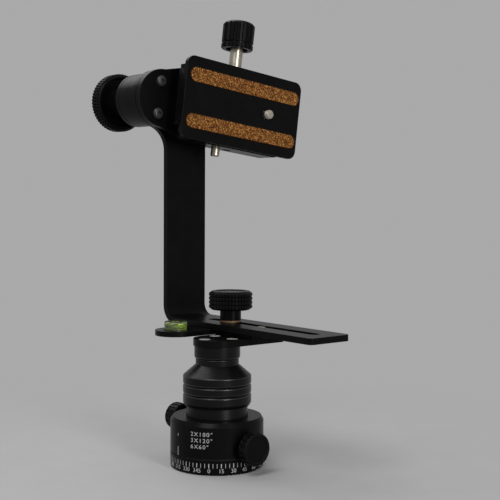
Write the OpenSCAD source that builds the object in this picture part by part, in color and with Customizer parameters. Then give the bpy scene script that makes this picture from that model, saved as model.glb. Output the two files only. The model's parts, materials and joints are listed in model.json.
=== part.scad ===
// Gimbal head with an indexed pan base, a sliding L-shaped arm and a tilting quick-release clamp.
// X runs along the arm's foot and the tilt axis, Y along the camera plate, Z is the pan axis.

/* [Base] */
// Diameter of the scale ring and of the pan housing
base_d = 60; // [56:0.5:80]
// Height of the scale ring
base_h = 9.8; // [8:0.1:14]
// Radius of the scale ring's lower edge
base_edge_r = 1.5; // [0.5:0.1:3]
// Open joint between the scale ring and the housing
base_gap = 0.4; // [0.3:0.05:0.8]
// Wall diameter of the tripod socket for a 3/8 inch screw
tripod_thread_d = 9.5; // [8:0.1:11]
// Diameter of the circle of the screws under the base
base_screw_circle = 29; // [26:0.5:32]

/* [Pan housing] */
// Height of the pan housing
house_h = 22.2; // [20:0.1:32]
// Height of the chamfer round the housing's top
house_chamfer_h = 2.6; // [1:0.1:4]
// Width of the chamfer round the housing's top
house_chamfer_w = 1.55; // [0.5:0.05:3]
// Thickness of the housing's side wall
house_wall = 4; // [3:0.1:5]
// Thickness of the housing's roof
house_roof = 3.4; // [3:0.1:3.6]

/* [Pan spindle] */
// Diameter of the spindle's journal
journal_d = 14; // [12:0.1:16]
// Diameter of the spindle's threaded end
spindle_thread_d = 10; // [8:0.1:11]
// Diameter of the spindle's foot flange
spindle_flange_d = 40; // [38:0.5:42]
// Thickness of the spindle's foot flange
spindle_flange_t = 3; // [2:0.1:4]
// Diameter of the index ring
index_ring_d = 40; // [38:0.5:42]
// Height of the index ring
index_ring_h = 14; // [13.6:0.1:14.2]
// Number of index stops in a turn
index_stops = 12; // [3:1:12]
// Wall of the pan bush
pan_bush_t = 3; // [2:0.1:4]
// Width across the flats of the spindle nut
spindle_nut_af = 15; // [14:0.1:17]
// Height of the spindle nut
spindle_nut_h = 5; // [4:0.1:6]

/* [Pan lock] */
// Diameter of the pan lock knob
pan_lock_d = 18; // [16:0.5:24]
// Thickness of the pan lock knob
pan_lock_t = 9.6; // [8:0.1:12]
// Diameter of the pan lock knob's neck
pan_lock_neck_d = 12; // [10:0.5:15]
// Length of the pan lock knob's neck
pan_lock_neck_l = 4.9; // [3:0.1:8]
// Height of the pan lock above the housing's foot
pan_lock_h = 14.6; // [14:0.1:14.8]
// Diameter of the pan lock's screw
pan_lock_screw_d = 6; // [5:0.1:8]

/* [Index plunger] */
// Diameter of the index knob
index_knob_d = 20.5; // [16:0.5:24]
// Thickness of the index knob
index_knob_t = 6.6; // [5:0.1:9]
// Height of the plunger above the housing's foot
index_h = 6.6; // [6:0.1:8]
// Diameter of the plunger's pin
index_pin_d = 4; // [3:0.1:4.4]
// Travel of the plunger
index_travel = 3; // [2:0.1:3.4]
// Outer diameter of the plunger's sleeve
index_sleeve_d = 10; // [9.4:0.1:12]

/* [Riser post] */
// Diameter of the neck at its foot
neck_d = 40.2; // [38:0.1:44]
// Height of the neck
neck_h = 6.7; // [5:0.1:10]
// Diameter of the ringed barrel
stack_d = 43.9; // [42:0.1:50]
// Height of the ringed barrel
stack_h = 19.3; // [16:0.1:26]
// Height of the chamfer under the ringed barrel
stack_chamfer = 2.2; // [1:0.1:3]
// Height of the lower groove above the barrel's foot
groove_low_h = 7.8; // [6:0.1:9]
// Distance between the two grooves
groove_pitch = 5.9; // [4:0.1:7]
// Depth of each groove
groove_depth = 0.8; // [0.4:0.1:1.2]
// Height of the cone
cone_h = 7; // [5:0.1:10]
// Diameter of the cone's top
cone_top_d = 27.8; // [24:0.1:29]
// Height of the post's end above the cone
post_end_h = 3.8; // [3:0.1:6]
// Diameter of the collar
collar_d = 29.5; // [28:0.1:31]
// Height of the collar
collar_h = 8.3; // [7.5:0.1:12]
// Diameter of the stud between post and collar
post_stud_d = 9.5; // [8:0.1:11]

/* [Pan bar and level plate] */
// Width of the pan bar
bar_w = 31; // [30:0.5:36]
// Thickness of the pan bar
bar_t = 4.4; // [4:0.1:6]
// Length of the pan bar beyond the arm's far edge
bar_over = 3; // [0:0.5:10]
// Diameter of the circle of the bar's screws
bar_screw_circle = 20.6; // [19:0.1:21]
// Thickness of the level plate
level_t = 3.5; // [3:0.1:5]
// Distance of the level plate's near edge from the pan axis
level_near_y = 10.5; // [9.5:0.1:12]
// Reach of the level plate along +X
level_right_x = 22; // [20:0.5:30]
// Distance of the bubble level from the pan axis along -X
lobe_x = 29.5; // [29.5:0.5:36]
// Distance of the bubble level in front of the pan axis
lobe_y = 11.6; // [8:0.1:16]
// Diameter of the lobe that carries the bubble level
lobe_d = 27; // [22:0.5:27.5]
// Diameter of the bubble level
vial_d = 15; // [12:0.5:18]
// Height of the bubble level over the plate
vial_h = 5.4; // [5:0.1:9]

/* [Arm] */
// Width of the arm's strip
arm_w = 33; // [30:0.5:40]
// Thickness of the arm's strip
arm_t = 4; // [3.5:0.1:6]
// Distance of the strip's near edge from the pan axis
arm_near_y = 6.8; // [6:0.1:9]
// Distance from the pan axis to the upright's inner face
arm_reach = 65.4; // [60:0.5:80]
// Distance from the pan axis to the foot's free end
arm_end = 80.2; // [76:0.1:100]
// Outer radius of the bend
bend_r = 12; // [8:0.5:16]
// Corner radius of the foot's free end
arm_corner_r = 3; // [1:0.5:6]
// Width of the slot
slot_w = 7; // [6.8:0.1:9]
// Distance from the pan axis to the slot's inner end
slot_in = 37.5; // [34:0.5:40]
// Distance from the slot's outer end to the foot's free end
slot_margin = 11.2; // [6:0.1:14]
// Height of the tilt axis above the foot's top
axis_h = 149.6; // [130:0.5:180]
// Diameter of the upright's round head
arm_head_d = 39; // [38:0.5:41]
// Radius of the fillet under the head
arm_fillet_r = 17; // [10:0.5:24]

/* [Slide lock] */
// Distance of the lock bolt and the guide pin from the pan axis
bolt_x = 15.5; // [14:0.5:18]
// Diameter of the lock bolt
bolt_d = 6; // [5:0.1:6.2]
// Diameter of the guide pin
guide_pin_d = 6.4; // [5:0.1:6.4]
// Thickness of the brass washer
slide_washer_t = 1.2; // [1:0.1:4]
// Diameter of the knob's stem and of the washer
slide_stem_d = 14; // [12:0.5:18]
// Height of the knob's stem
slide_stem_h = 7.1; // [4:0.1:10]
// Diameter of the slide knob
slide_knob_d = 29; // [22:0.5:34]
// Height of the slide knob
slide_knob_h = 12.3; // [10:0.1:16]

/* [Tilt hub] */
// Diameter of the tilt barrel
barrel_d = 36.4; // [36:0.1:39]
// Length of the tilt barrel
barrel_l = 18.8; // [18:0.1:26]
// Thickness of the barrel's cap
barrel_cap_t = 3.7; // [3:0.1:6]
// Diameter of the hub's journal
hub_d = 18; // [16:0.1:18.4]
// Wall of the tilt bushes
tilt_bush_t = 3; // [2:0.1:3.2]
// Length of each tilt bush
tilt_bush_l = 8.5; // [6:0.1:9]
// Diameter of the hub's flange
hub_flange_d = 31; // [29:0.5:33]
// Thickness of the hub's flange
hub_flange_t = 2.4; // [2:0.1:2.6]
// Thickness of the friction washer
tilt_washer_t = 0.5; // [0.4:0.1:1]
// Diameter of the lock stud
tilt_stud_d = 8; // [6:0.1:9]
// Diameter of the tilt lock knob's hub
tilt_knob_hub_d = 22; // [18:0.5:28]
// Length of the tilt lock knob's hub
tilt_knob_hub_l = 18.1; // [14:0.1:24]
// Diameter of the tilt lock knob
tilt_knob_d = 41; // [34:0.5:46]
// Thickness of the tilt lock knob's rim
tilt_knob_t = 8.7; // [7:0.1:12]

/* [Tilt bracket] */
// Nose-down tilt of the clamp as it stands, in degrees
tilt_at_rest = 7.2; // [-30:0.1:30]
// Diameter of the bracket's round end
bracket_d = 39.4; // [36:0.2:44]
// Thickness of the bracket
bracket_t = 4.5; // [4.2:0.1:6]
// Width of the bracket behind the clamp
bracket_w = 49; // [44:0.5:54]
// Half angle of the bracket's taper, in degrees
bracket_taper = 14.2; // [8:0.2:18]
// Length of the bracket past the tilt axis
bracket_l = 84; // [80:0.5:95]
// Diameter of the circle of the hub screws
hub_screw_circle = 23; // [22.8:0.1:23.6]
// Angle of each hub screw from the clamp's direction, in degrees
hub_screw_turn = 107; // [100:1:125]

/* [Clamp] */
// Distance of the clamp's middle from the tilt axis
clamp_y = 53.5; // [52:0.5:60]
// Length of the clamp
clamp_l = 84; // [70:0.5:96]
// Thickness of the clamp's base
clamp_base_t = 10.6; // [10.4:0.1:12]
// Height of the clamp's middle over the tilt axis
clamp_rise = 1.2; // [0:0.1:3]
// Height of the clamp's upper edge over its middle
clamp_top = 24.6; // [23.5:0.1:26]
// Depth of the clamp's lower edge under its middle
clamp_low = 16; // [15:0.1:16.5]
// Length of the moving jaw
jaw_l = 80; // [60:0.5:96]
// Depth of the jaw's lower edge under the clamp's middle
jaw_low = 28.5; // [26:0.1:32]
// Corner radius of the moving jaw
jaw_corner_r = 5; // [2:0.5:7]
// Diameter of the guide rods
rod_d = 6.1; // [5:0.1:6.4]
// Distance of each guide rod from the clamp screw
rod_pitch = 9.8; // [8:0.1:14]
// Length of the long rod that shows below the jaw
rod_show = 6; // [4.5:0.1:9]
// Diameter of the clamp screw
clamp_screw_d = 6; // [5:0.1:6.4]
// Diameter of the clamp screw's steel stem
clamp_stem_d = 9; // [8:0.1:9.4]
// Length of the clamp screw's steel stem
clamp_stem_l = 18.1; // [14:0.1:24]
// Diameter of the clamp knob
clamp_knob_d = 22.5; // [18:0.5:28]
// Height of the clamp knob
clamp_knob_h = 19.4; // [14:0.1:24]

/* [Camera plate] */
// Length of the camera plate
plate_l = 103.2; // [90:0.1:120]
// Width of the camera plate
plate_w = 55.8; // [52:0.2:60]
// Distance of the plate's middle from the clamp's middle
plate_shift = 0.7; // [-10:0.1:10]
// Thickness of the plate's top
plate_t = 3; // [2.5:0.1:5]
// Corner radius of the camera plate
plate_corner_r = 6; // [3:0.5:9]
// Width of the dovetail at its foot
dovetail_w = 38; // [36:0.1:38.4]
// Depth of the dovetail's slanted side
dovetail_slant = 3.5; // [3:0.1:3.8]
// Height of the dovetail's straight foot
dovetail_foot = 1.5; // [1.2:0.1:2]
// Width of each cork strip
cork_w = 10.5; // [8:0.1:12]
// Thickness of each cork strip
cork_t = 1; // [0.8:0.1:2]
// Depth to which the cork is let into the plate
cork_inlay = 0.4; // [0.2:0.1:0.6]
// Distance from the plate's long edge to the cork
cork_margin = 7.1; // [4:0.1:8]
// Distance from the plate's near end to the cork
cork_near = 2.8; // [1.5:0.1:8]
// Distance from the plate's far end to the cork
cork_far = 1.8; // [1.5:0.1:8]
// Diameter of the camera screw, 1/4 inch thread
camera_screw_d = 6.35; // [5:0.05:8]
// Distance of the camera screw from the plate's middle
camera_screw_y = 21.6; // [-35:0.1:35]
// Length of the camera screw past the plate's face
camera_screw_show = 3.8; // [3:0.1:7]
// Diameter of the hole round the camera screw
camera_hole_d = 8.4; // [7:0.1:10]
// Diameter of the camera screw's thin neck
camera_neck_d = 5; // [4:0.1:5.6]
// Diameter of the camera screw's head
camera_screw_head_d = 13; // [11:0.5:15]
// Thickness of the camera screw's head
camera_screw_head_t = 2.4; // [2:0.1:2.8]

/* [Fasteners and fits] */
// Diameter of the small countersunk screws
small_screw_d = 3; // [2.5:0.1:3]
// Diameter of the large countersunk screws
large_screw_d = 4; // [3.5:0.1:4]
// Head diameter of a countersunk screw over its thread diameter
head_ratio = 1.8; // [1.7:0.05:1.85]
// Radial clearance where a part turns or slides in another
run_gap = 0.05; // [0.02:0.01:0.08]
// Radial clearance where two fixed parts fit together
seat_gap = 0.02; // [0.01:0.01:0.05]
// Clear space between parts that pass each other
pass_gap = 0.3; // [0.3:0.05:0.5]

/* [Hidden] */
$fn = 72;
eps = 0.01;
cut = 1;
end_gap = 0.2;
small_edge = 0.4;
rim_over = 0.5;
rib_depth = 0.9;
rib_edge = 0.6;
index_ribs = 18;
clamp_ribs = 16;
knurl_depth = 0.8;
slide_knurls = 40;
slide_rows = 4;
slide_edge = 1.2;
tilt_knurls = 48;
tilt_rows = 3;
tilt_edge = 0.7;

black = "#1d1d1f";
dark = "#2b2b2d";
steel = "#b9bcc0";
bronze = "#a9804a";
brass = "#c39a54";
nylon = "#e6e3da";
cork = "#9a673a";
acrylic = "#d4dca0";
lime = "#b9d23a";

// Levels of the pan base, from the tripod face up
base_r = base_d / 2;
z_house = base_h + base_gap;
z_roof = z_house + house_h;
z_ceiling = z_roof - house_roof;
cavity_r = base_r - house_wall;
z_ring = base_h + spindle_flange_t;
z_journal = z_roof + end_gap;
spindle_washer_t = 1.5;
spindle_washer_w = 5;
spindle_washer_d = journal_d + 2 * spindle_washer_w;
z_nut = z_journal + spindle_washer_t;
thread_over = 1;
z_spindle_top = z_nut + spindle_nut_h + thread_over;
bush_flange_t = 1.2;
bush_flange_w = 2;
thrust_inset = 0.8;
thrust_gap = 0.5;
base_screw_turn = 60;
pan_bush_d = journal_d + 2 * pan_bush_t;

// Levels of the riser post and of what it carries
z_stack = z_roof + neck_h;
z_cone = z_stack + stack_h;
z_cone_top = z_cone + cone_h;
z_collar = z_cone_top + post_end_h;
z_bar = z_collar + collar_h;
z_level = z_bar + bar_t;
z_arm = z_level + level_t;
z_arm_top = z_arm + arm_t;
z_axis = z_arm_top + axis_h;
wrench_room = 7.5;
spindle_room = 1.5;
post_cavity_r = spindle_nut_af / 2 + wrench_room;
post_roof = z_spindle_top + spindle_room;
post_screw_circle = post_cavity_r + neck_d / 2;
post_screw_turn = 90;
post_screw_grip = 5;
post_screw_head_h = 1.8;
post_stud_low = 9;
stud_skin = 1;
neck_draft = 0.6;
bar_screw_turn = 30;
bar_screw_grip = 5.8;
collar_chamfer = 0.9;

// Pan lock and index plunger, both square to the pan axis
pan_lock_z = z_house + pan_lock_h;
index_z = z_house + index_h;
index_ring_r = index_ring_d / 2;
tip_gap = 0.5;
knob_gap = 1.2;
lock_tip_x = index_ring_r + tip_gap;
lock_knob_x = base_r + knob_gap;
lock_knob_l = pan_lock_neck_l + pan_lock_t;
lock_tip_wall = 1.1;
lock_tip_d = pan_lock_screw_d - 2 * lock_tip_wall;
lock_tip_l = 4;
lock_tip_show = 1;
lock_pocket = 9;
pin_tip_gap = 0.8;
pin_tip_x = index_ring_r + pin_tip_gap;
shoulder_gap = 0.6;
shoulder_x = index_ring_r + index_travel + shoulder_gap;
shoulder_t = 1;
sleeve_wall = 1.4;
shoulder_d = index_sleeve_d - 2 * sleeve_wall;
sleeve_gap = 1.6;
sleeve_in_x = index_ring_r + sleeve_gap;
sleeve_over = 0.8;
sleeve_out_x = base_r + sleeve_over;
sleeve_end_wall = 1.8;
sleeve_seat_x = sleeve_out_x - sleeve_end_wall;
index_knob_x = sleeve_out_x + index_travel + pass_gap;
index_pocket = 4;
index_hole_deep = 3.4;
spring_wire = 0.6;
spring_curls = 3;
spring_d = shoulder_d - spring_wire - 2 * end_gap;

// Arm, slot and slide lock
arm_y = arm_near_y + arm_w / 2;
arm_far_y = arm_near_y + arm_w;
arm_out_x = -arm_reach - arm_t;
bend_x = arm_out_x + bend_r;
slot_out = arm_end - slot_margin;
level_far_y = arm_far_y;
vial_inlay = 1;
vial_wall = 1.3;
vial_roof = 1.5;
fluid_h = vial_inlay + vial_h - vial_roof;
z_stem = z_arm_top + slide_washer_t;
z_slide_knob = z_stem + slide_stem_h;
bolt_pocket = 9;
slide_groove = 1.4;
pin_drop = 0.5;
level_screw_x = 8;
level_screw_edge = 6;

// Tilt axis, from the upright's inner face outwards
flange_back_x = -arm_reach + tilt_washer_t;
flange_front_x = flange_back_x + hub_flange_t;
bracket_gap = 0.2;
bracket_corner_r = 5;
bracket_overlap = 0.03;
bracket_back_x = flange_back_x + bracket_gap;
bracket_front_x = bracket_back_x + bracket_t;
tilt_bush_d = hub_d + 2 * tilt_bush_t;
barrel_end_x = arm_out_x - barrel_l;
cap_end_x = barrel_end_x - barrel_cap_t;
cap_spigot = 2;
hub_end_gap = 0.6;
hub_room = 0.5;
hub_end_x = barrel_end_x + hub_end_gap;
knob_washer_t = 1;
tilt_knob_x = cap_end_x - knob_washer_t - pass_gap;
tilt_rim_x = tilt_knob_x - tilt_knob_hub_l;
tilt_knob_end_x = tilt_rim_x - tilt_knob_t;
tilt_rim_wall = 3.2;
tilt_dish_d = tilt_knob_d - 2 * tilt_rim_wall;
tilt_dish_h = 3;
stud_in_hub = 13;
stud_in_rim = 5;
stud_in_knob = tilt_knob_hub_l + stud_in_rim;
thread_room = 0.4;
barrel_screw_circle = (tilt_bush_d + barrel_d) / 2;
barrel_screw_grip = 8;
barrel_screw_l = arm_t + barrel_screw_grip;

// Clamp and plate, measured from the bracket's face along X
clamp_x = bracket_front_x;
clamp_face_x = clamp_x + clamp_base_t;
rod_x = -arm_reach + clamp_knob_d / 2 + pass_gap;
foot_gap = 1;
foot_x = clamp_face_x + foot_gap;
slant_x = foot_x + dovetail_foot;
neck_x = slant_x + dovetail_slant;
neck_l = 0.6;
plate_back_x = neck_x + neck_l;
plate_face_x = plate_back_x + plate_t;
jaw_gap = 0.4;
jaw_face_x = plate_back_x - jaw_gap;
jaw_top = clamp_low + pass_gap;
knob_low = clamp_top + pass_gap + clamp_stem_l;
clamp_knob_pocket = 11;
clamp_groove = 1.2;
clamp_groove_h = 3.4;
clamp_knob_round = 4.5;
clamp_recess_wall = 7;
clamp_recess_h = 2;
screw_skin = 1.5;
screw_in_jaw = jaw_low - screw_skin;
rod_in_body = 22;
short_rod_skin = 4;
short_rod_low = jaw_low - short_rod_skin;
rod_edge = 0.5;
rod_end_gap = 0.6;
cork_q = plate_w / 2 - cork_margin - cork_w / 2;
cork_x = plate_face_x - cork_inlay;
plate_p = clamp_y + plate_shift;
camera_screw_p = plate_p + camera_screw_y;
coin_slot_w = 1.6;
coin_slot_h = 1;
body_screw_p = 20;
body_screw_q = 9;
body_screw_skin = 2;
body_screw_l = bracket_t + clamp_base_t - body_screw_skin;

// Shapes shared by several parts

// Tube between two heights
module tube(outer_d, inner_d, low, high) {
    translate([0, 0, low])
        difference() {
            cylinder(d = outer_d, h = high - low);
            translate([0, 0, -cut]) cylinder(d = inner_d, h = high - low + 2 * cut);
        }
}

// Hole in which a part of the given diameter is seated
module bore(d, h) { cylinder(d = d + 2 * seat_gap, h = h); }

// Hole in which a part of the given diameter turns or slides
module running_bore(d, h) { cylinder(d = d + 2 * run_gap, h = h); }

// Puts a shape drawn along Z on a line along X at a given height, starting at x
module along_x(x, y = 0, z = 0) {
    translate([x, y, z]) rotate([0, 90, 0]) children();
}

// Frame of the parts that tilt: X along the axis, Y along the clamp, Z across it
module tilted() {
    translate([0, 0, z_axis]) rotate([-tilt_at_rest, 0, 0]) children();
}

// Frame of the clamp and of the plate in it, whose middle lies a little above the tilt axis
module clamped() {
    tilted() translate([0, 0, clamp_rise]) children();
}

// Screw with a countersunk head, its flat top at z = 0 and its thread below; grown by a gap,
// it is the cut for such a screw and runs on over z = 0
module countersunk(d, l, grow = 0) {
    over = grow > 0 ? cut : 0;
    head = d * head_ratio + 2 * over;
    slope = (head - d) / 2;
    translate([0, 0, -l]) cylinder(d = d + 2 * grow, h = l);
    translate([0, 0, over - slope]) cylinder(d1 = d + 2 * grow, d2 = head + 2 * grow, h = slope);
}

// Cross-shaped driver recess at the top of a screw head
module driver_recess(d) {
    for (turn = [0, 90])
        rotate(turn) translate([-d * 0.5, -d * 0.1, -d * 0.3]) cube([d, d * 0.2, d * 0.3 + cut]);
}

// Screw with its driver recess
module screw(d, l) {
    difference() {
        countersunk(d, l);
        driver_recess(d);
    }
}

// Screw with a domed head over z = 0, a hexagon socket and its thread below
module button_screw(d, l) {
    head_r = 0.95 * d;
    head_h = 0.55 * d;
    top_r = 0.45 * d;
    dome = [for (turn = [0 : 15 : 90])
        [top_r + (head_r - top_r) * cos(turn), 0.1 * d + (head_h - 0.1 * d) * sin(turn)]];
    difference() {
        union() {
            rotate_extrude() polygon(concat([[0, 0], [head_r, 0]], dome, [[0, head_h]]));
            translate([0, 0, -l]) cylinder(d = d, h = l + eps);
        }
        translate([0, 0, 0.2 * d]) cylinder(d = 0.72 * d, h = head_h, $fn = 6);
    }
}

// Corners of a round toothed outline, with pointed teeth
function tooth_points(d, depth, count) =
    [for (i = [0 : 2 * count - 1])
        let (r = i % 2 == 0 ? d / 2 : d / 2 - depth, turn = 180 * i / count)
        [r * cos(turn), r * sin(turn)]];

// Corners of a round ribbed outline, with flat-topped ribs
function rib_points(d, depth, count) =
    [for (i = [0 : count - 1], k = [0 : 3])
        let (r = k < 2 ? d / 2 : d / 2 - depth, turn = 360 * (i + [0.06, 0.5, 0.62, 0.94][k]) / count)
        [r * cos(turn), r * sin(turn)]];

// Cylinder with both edges chamfered
module chamfered(d, h, edge) {
    rotate_extrude()
        polygon([[0, 0], [d / 2 - edge, 0], [d / 2, edge], [d / 2, h - edge], [d / 2 - edge, h], [0, h]]);
}

// Disc with a toothed or ribbed rim and both edges chamfered
module rimmed(points, d, h, edge) {
    intersection() {
        linear_extrude(h) polygon(points);
        chamfered(d + 2 * rim_over, h, edge + rim_over);
    }
}

// Rectangle with round corners, from its low corner to its high corner
module rounded_plate(low, high, r) {
    for (x = [low[0] + r, high[0] - r], y = [low[1] + r, high[1] - r]) translate([x, y]) circle(r);
    translate([low[0] + r, low[1]]) square([high[0] - low[0] - 2 * r, high[1] - low[1]]);
    translate([low[0], low[1] + r]) square([high[0] - low[0], high[1] - low[1] - 2 * r]);
}

// Strip with two round ends along the second axis
module round_ended(low, high, w) {
    for (end = [low + w / 2, high - w / 2]) translate([0, end]) circle(d = w);
    translate([-w / 2, low + w / 2]) square([w, high - low - w]);
}

// Extrudes a drawing in the Y-Z plane from one X to another
module slab_x(from, to) {
    translate([from, 0, 0]) rotate([90, 0, 90]) linear_extrude(to - from) children();
}

// Extrudes a drawing in the X-Z plane from one Y to another
module slab_y(from, to) {
    translate([0, to, 0]) rotate([90, 0, 0]) linear_extrude(to - from) children();
}

// Places of the fasteners
module on_circle(d, first) {
    for (turn = [first, first + 120, first + 240]) rotate(turn) translate([d / 2, 0, 0]) children();
}
module at_base_screws() { on_circle(base_screw_circle, base_screw_turn) children(); }
module at_post_screws() { on_circle(post_screw_circle, post_screw_turn) children(); }
module at_bar_screws() { on_circle(bar_screw_circle, bar_screw_turn) children(); }
module at_level_screws() {
    rows = [level_near_y + level_screw_edge, level_far_y - level_screw_edge];
    for (x = [-level_screw_x, level_screw_x], y = rows) translate([x, y, 0]) children();
}
module at_barrel_screws() {
    for (turn = [45 : 90 : 315])
        rotate([turn, 0, 0]) translate([0, barrel_screw_circle / 2, 0]) children();
}
module at_hub_screws() {
    for (turn = [-hub_screw_turn, hub_screw_turn])
        rotate([turn, 0, 0]) translate([0, hub_screw_circle / 2, 0]) children();
}
module at_body_screws() {
    for (p = [-body_screw_p, body_screw_p], q = [-body_screw_q, body_screw_q])
        translate([0, clamp_y + p, q]) children();
}

// Pan base

module base_plate() {
    middle = [base_r - base_edge_r, base_edge_r];
    edge = [for (turn = [-90 : 15 : 0]) middle + base_edge_r * [cos(turn), sin(turn)]];
    color(black)
        difference() {
            rotate_extrude() polygon(concat([[0, 0]], edge, [[base_r, base_h], [0, base_h]]));
            translate([0, 0, -cut]) cylinder(d = tripod_thread_d, h = base_h + 2 * cut);
            at_base_screws() rotate([180, 0, 0]) countersunk(large_screw_d, base_h + cut, seat_gap);
        }
}

module base_screws() {
    color(steel)
        at_base_screws() rotate([180, 0, 0]) screw(large_screw_d, base_h + spindle_flange_t - end_gap);
}

module pan_spindle() {
    color(steel)
        difference() {
            union() {
                translate([0, 0, base_h]) cylinder(d = spindle_flange_d, h = spindle_flange_t);
                translate([0, 0, base_h]) cylinder(d = journal_d, h = z_journal - base_h);
                translate([0, 0, base_h]) cylinder(d = spindle_thread_d, h = z_spindle_top - base_h);
            }
            at_base_screws()
                translate([0, 0, base_h - cut]) bore(large_screw_d, spindle_flange_t + 2 * cut);
        }
}

module index_ring() {
    color(bronze)
        difference() {
            tube(index_ring_d, journal_d + 2 * seat_gap, z_ring, z_ring + index_ring_h);
            for (i = [0 : index_stops - 1])
                rotate(360 * i / index_stops)
                    along_x(index_ring_r - index_hole_deep, 0, index_z)
                        cylinder(d = index_pin_d + 4 * run_gap, h = index_hole_deep + cut);
        }
}

module thrust_washer() {
    color(nylon) tube(base_d - 2 * thrust_inset, 2 * (cavity_r + thrust_gap), base_h, z_house);
}

module spindle_washer() {
    color(steel) tube(spindle_washer_d, spindle_thread_d + 2 * seat_gap, z_journal, z_nut);
}

module spindle_nut() {
    color(steel)
        translate([0, 0, z_nut])
            difference() {
                cylinder(d = spindle_nut_af / cos(30), h = spindle_nut_h, $fn = 6);
                translate([0, 0, -cut]) bore(spindle_thread_d, spindle_nut_h + 2 * cut);
            }
}

module pan_housing() {
    color(black)
        difference() {
            rotate_extrude()
                polygon([[0, z_house], [base_r, z_house], [base_r, z_roof - house_chamfer_h],
                    [base_r - house_chamfer_w, z_roof], [0, z_roof]]);
            translate([0, 0, z_house - cut]) cylinder(r = cavity_r, h = z_ceiling - z_house + cut);
            translate([0, 0, z_house]) bore(pan_bush_d, house_h + cut);
            at_post_screws()
                translate([0, 0, z_ceiling - cut]) bore(small_screw_d, house_roof + 2 * cut);
            along_x(-base_r - cut, 0, pan_lock_z) running_bore(pan_lock_screw_d, base_r);
            along_x(1, 0, index_z) bore(index_sleeve_d, base_r);
        }
}

module pan_bush() {
    color(bronze) {
        difference() {
            union() {
                translate([0, 0, z_ceiling]) cylinder(d = pan_bush_d, h = house_roof);
                translate([0, 0, z_ceiling - bush_flange_t])
                    cylinder(d = pan_bush_d + 2 * bush_flange_w, h = bush_flange_t);
            }
            translate([0, 0, z_ceiling - bush_flange_t - cut])
                running_bore(journal_d, house_roof + bush_flange_t + 2 * cut);
        }
    }
}

// Pan lock

module pan_lock_knob() {
    color(black)
        along_x(-lock_knob_x - lock_knob_l, 0, pan_lock_z)
            difference() {
                union() {
                    rimmed(rib_points(pan_lock_d, rib_depth, index_ribs), pan_lock_d,
                        pan_lock_t, rib_edge);
                    cylinder(d = pan_lock_neck_d, h = lock_knob_l);
                }
                translate([0, 0, lock_knob_l - lock_pocket]) bore(pan_lock_screw_d, lock_pocket + cut);
            }
}

module pan_lock_screw() {
    color(steel)
        along_x(-lock_knob_x - lock_pocket, 0, pan_lock_z)
            difference() {
                cylinder(d = pan_lock_screw_d, h = lock_knob_x + lock_pocket - lock_tip_x - lock_tip_show);
                translate([0, 0, lock_knob_x + lock_pocket - lock_tip_x - lock_tip_l])
                    bore(lock_tip_d, lock_tip_l);
            }
}

module pan_lock_tip() {
    color(nylon) along_x(-lock_tip_x - lock_tip_l, 0, pan_lock_z) cylinder(d = lock_tip_d, h = lock_tip_l);
}

// Index plunger

module index_sleeve() {
    color(steel)
        along_x(sleeve_in_x, 0, index_z)
            difference() {
                cylinder(d = index_sleeve_d, h = sleeve_out_x - sleeve_in_x);
                translate([0, 0, -cut])
                    cylinder(d = shoulder_d + 2 * pass_gap, h = sleeve_seat_x - sleeve_in_x + cut);
                running_bore(index_pin_d, base_r);
            }
}

// One wire wound into curls, closed at both ends
module index_spring() {
    steps = 8 * spring_curls;
    sides = 6;
    room = sleeve_seat_x - shoulder_x - shoulder_t - spring_wire - end_gap;
    points = [for (i = [0 : steps], k = [0 : sides - 1])
        let (turn = 45 * i, side = 360 * k / sides, r = spring_d / 2 + spring_wire / 2 * cos(side))
        [r * cos(turn), r * sin(turn), room * i / steps + spring_wire / 2 * sin(side)]];
    skin = [for (i = [0 : steps - 1], k = [0 : sides - 1], half = [0, 1])
        let (a = i * sides + k, b = i * sides + (k + cut) % sides)
        half == 0 ? [a, b + sides, b] : [a, a + sides, b + sides]];
    start = [for (k = [1 : sides - 2]) [0, k, k + 1]];
    finish = [for (k = [1 : sides - 2]) [steps * sides, steps * sides + k + 1, steps * sides + k]];
    echo(spring_gap = room / spring_curls - spring_wire);
    color(steel)
        along_x(shoulder_x + shoulder_t + end_gap / 2 + spring_wire / 2, 0, index_z)
            polyhedron(points, concat(start, skin, finish));
}

module index_pin() {
    color(steel)
        along_x(pin_tip_x, 0, index_z) {
            cylinder(d = index_pin_d, h = index_knob_x + index_pocket - pin_tip_x);
            translate([0, 0, shoulder_x - pin_tip_x]) cylinder(d = shoulder_d, h = shoulder_t);
        }
}

module index_knob() {
    color(black)
        along_x(index_knob_x, 0, index_z)
            difference() {
                rimmed(rib_points(index_knob_d, rib_depth, index_ribs), index_knob_d,
                    index_knob_t, rib_edge);
                translate([0, 0, -cut]) bore(index_pin_d, index_pocket + cut);
            }
}

// Riser post and collar

// Outline of one groove, as the three corners that cut into the barrel
function groove_at(z) =
    [for (k = [-1, 0, 1]) [stack_d / 2 - groove_depth * (1 - abs(k)), z + k * groove_depth]];

module riser_post() {
    color(black)
        difference() {
            rotate_extrude()
                polygon(concat(
                    [[0, z_roof], [neck_d / 2, z_roof], [neck_d / 2 - neck_draft, z_stack],
                        [stack_d / 2 - stack_chamfer / 2, z_stack], [stack_d / 2, z_stack + stack_chamfer]],
                    groove_at(z_stack + groove_low_h),
                    groove_at(z_stack + groove_low_h + groove_pitch),
                    [[stack_d / 2, z_cone], [cone_top_d / 2, z_cone_top],
                        [cone_top_d / 2, z_collar], [0, z_collar]]));
            translate([0, 0, z_roof - cut]) cylinder(r = post_cavity_r, h = post_roof - z_roof + cut);
            translate([0, 0, z_collar - post_stud_low]) bore(post_stud_d, post_stud_low + cut);
            at_post_screws()
                translate([0, 0, z_roof - cut]) bore(small_screw_d, post_screw_grip + cut);
        }
}

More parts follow.
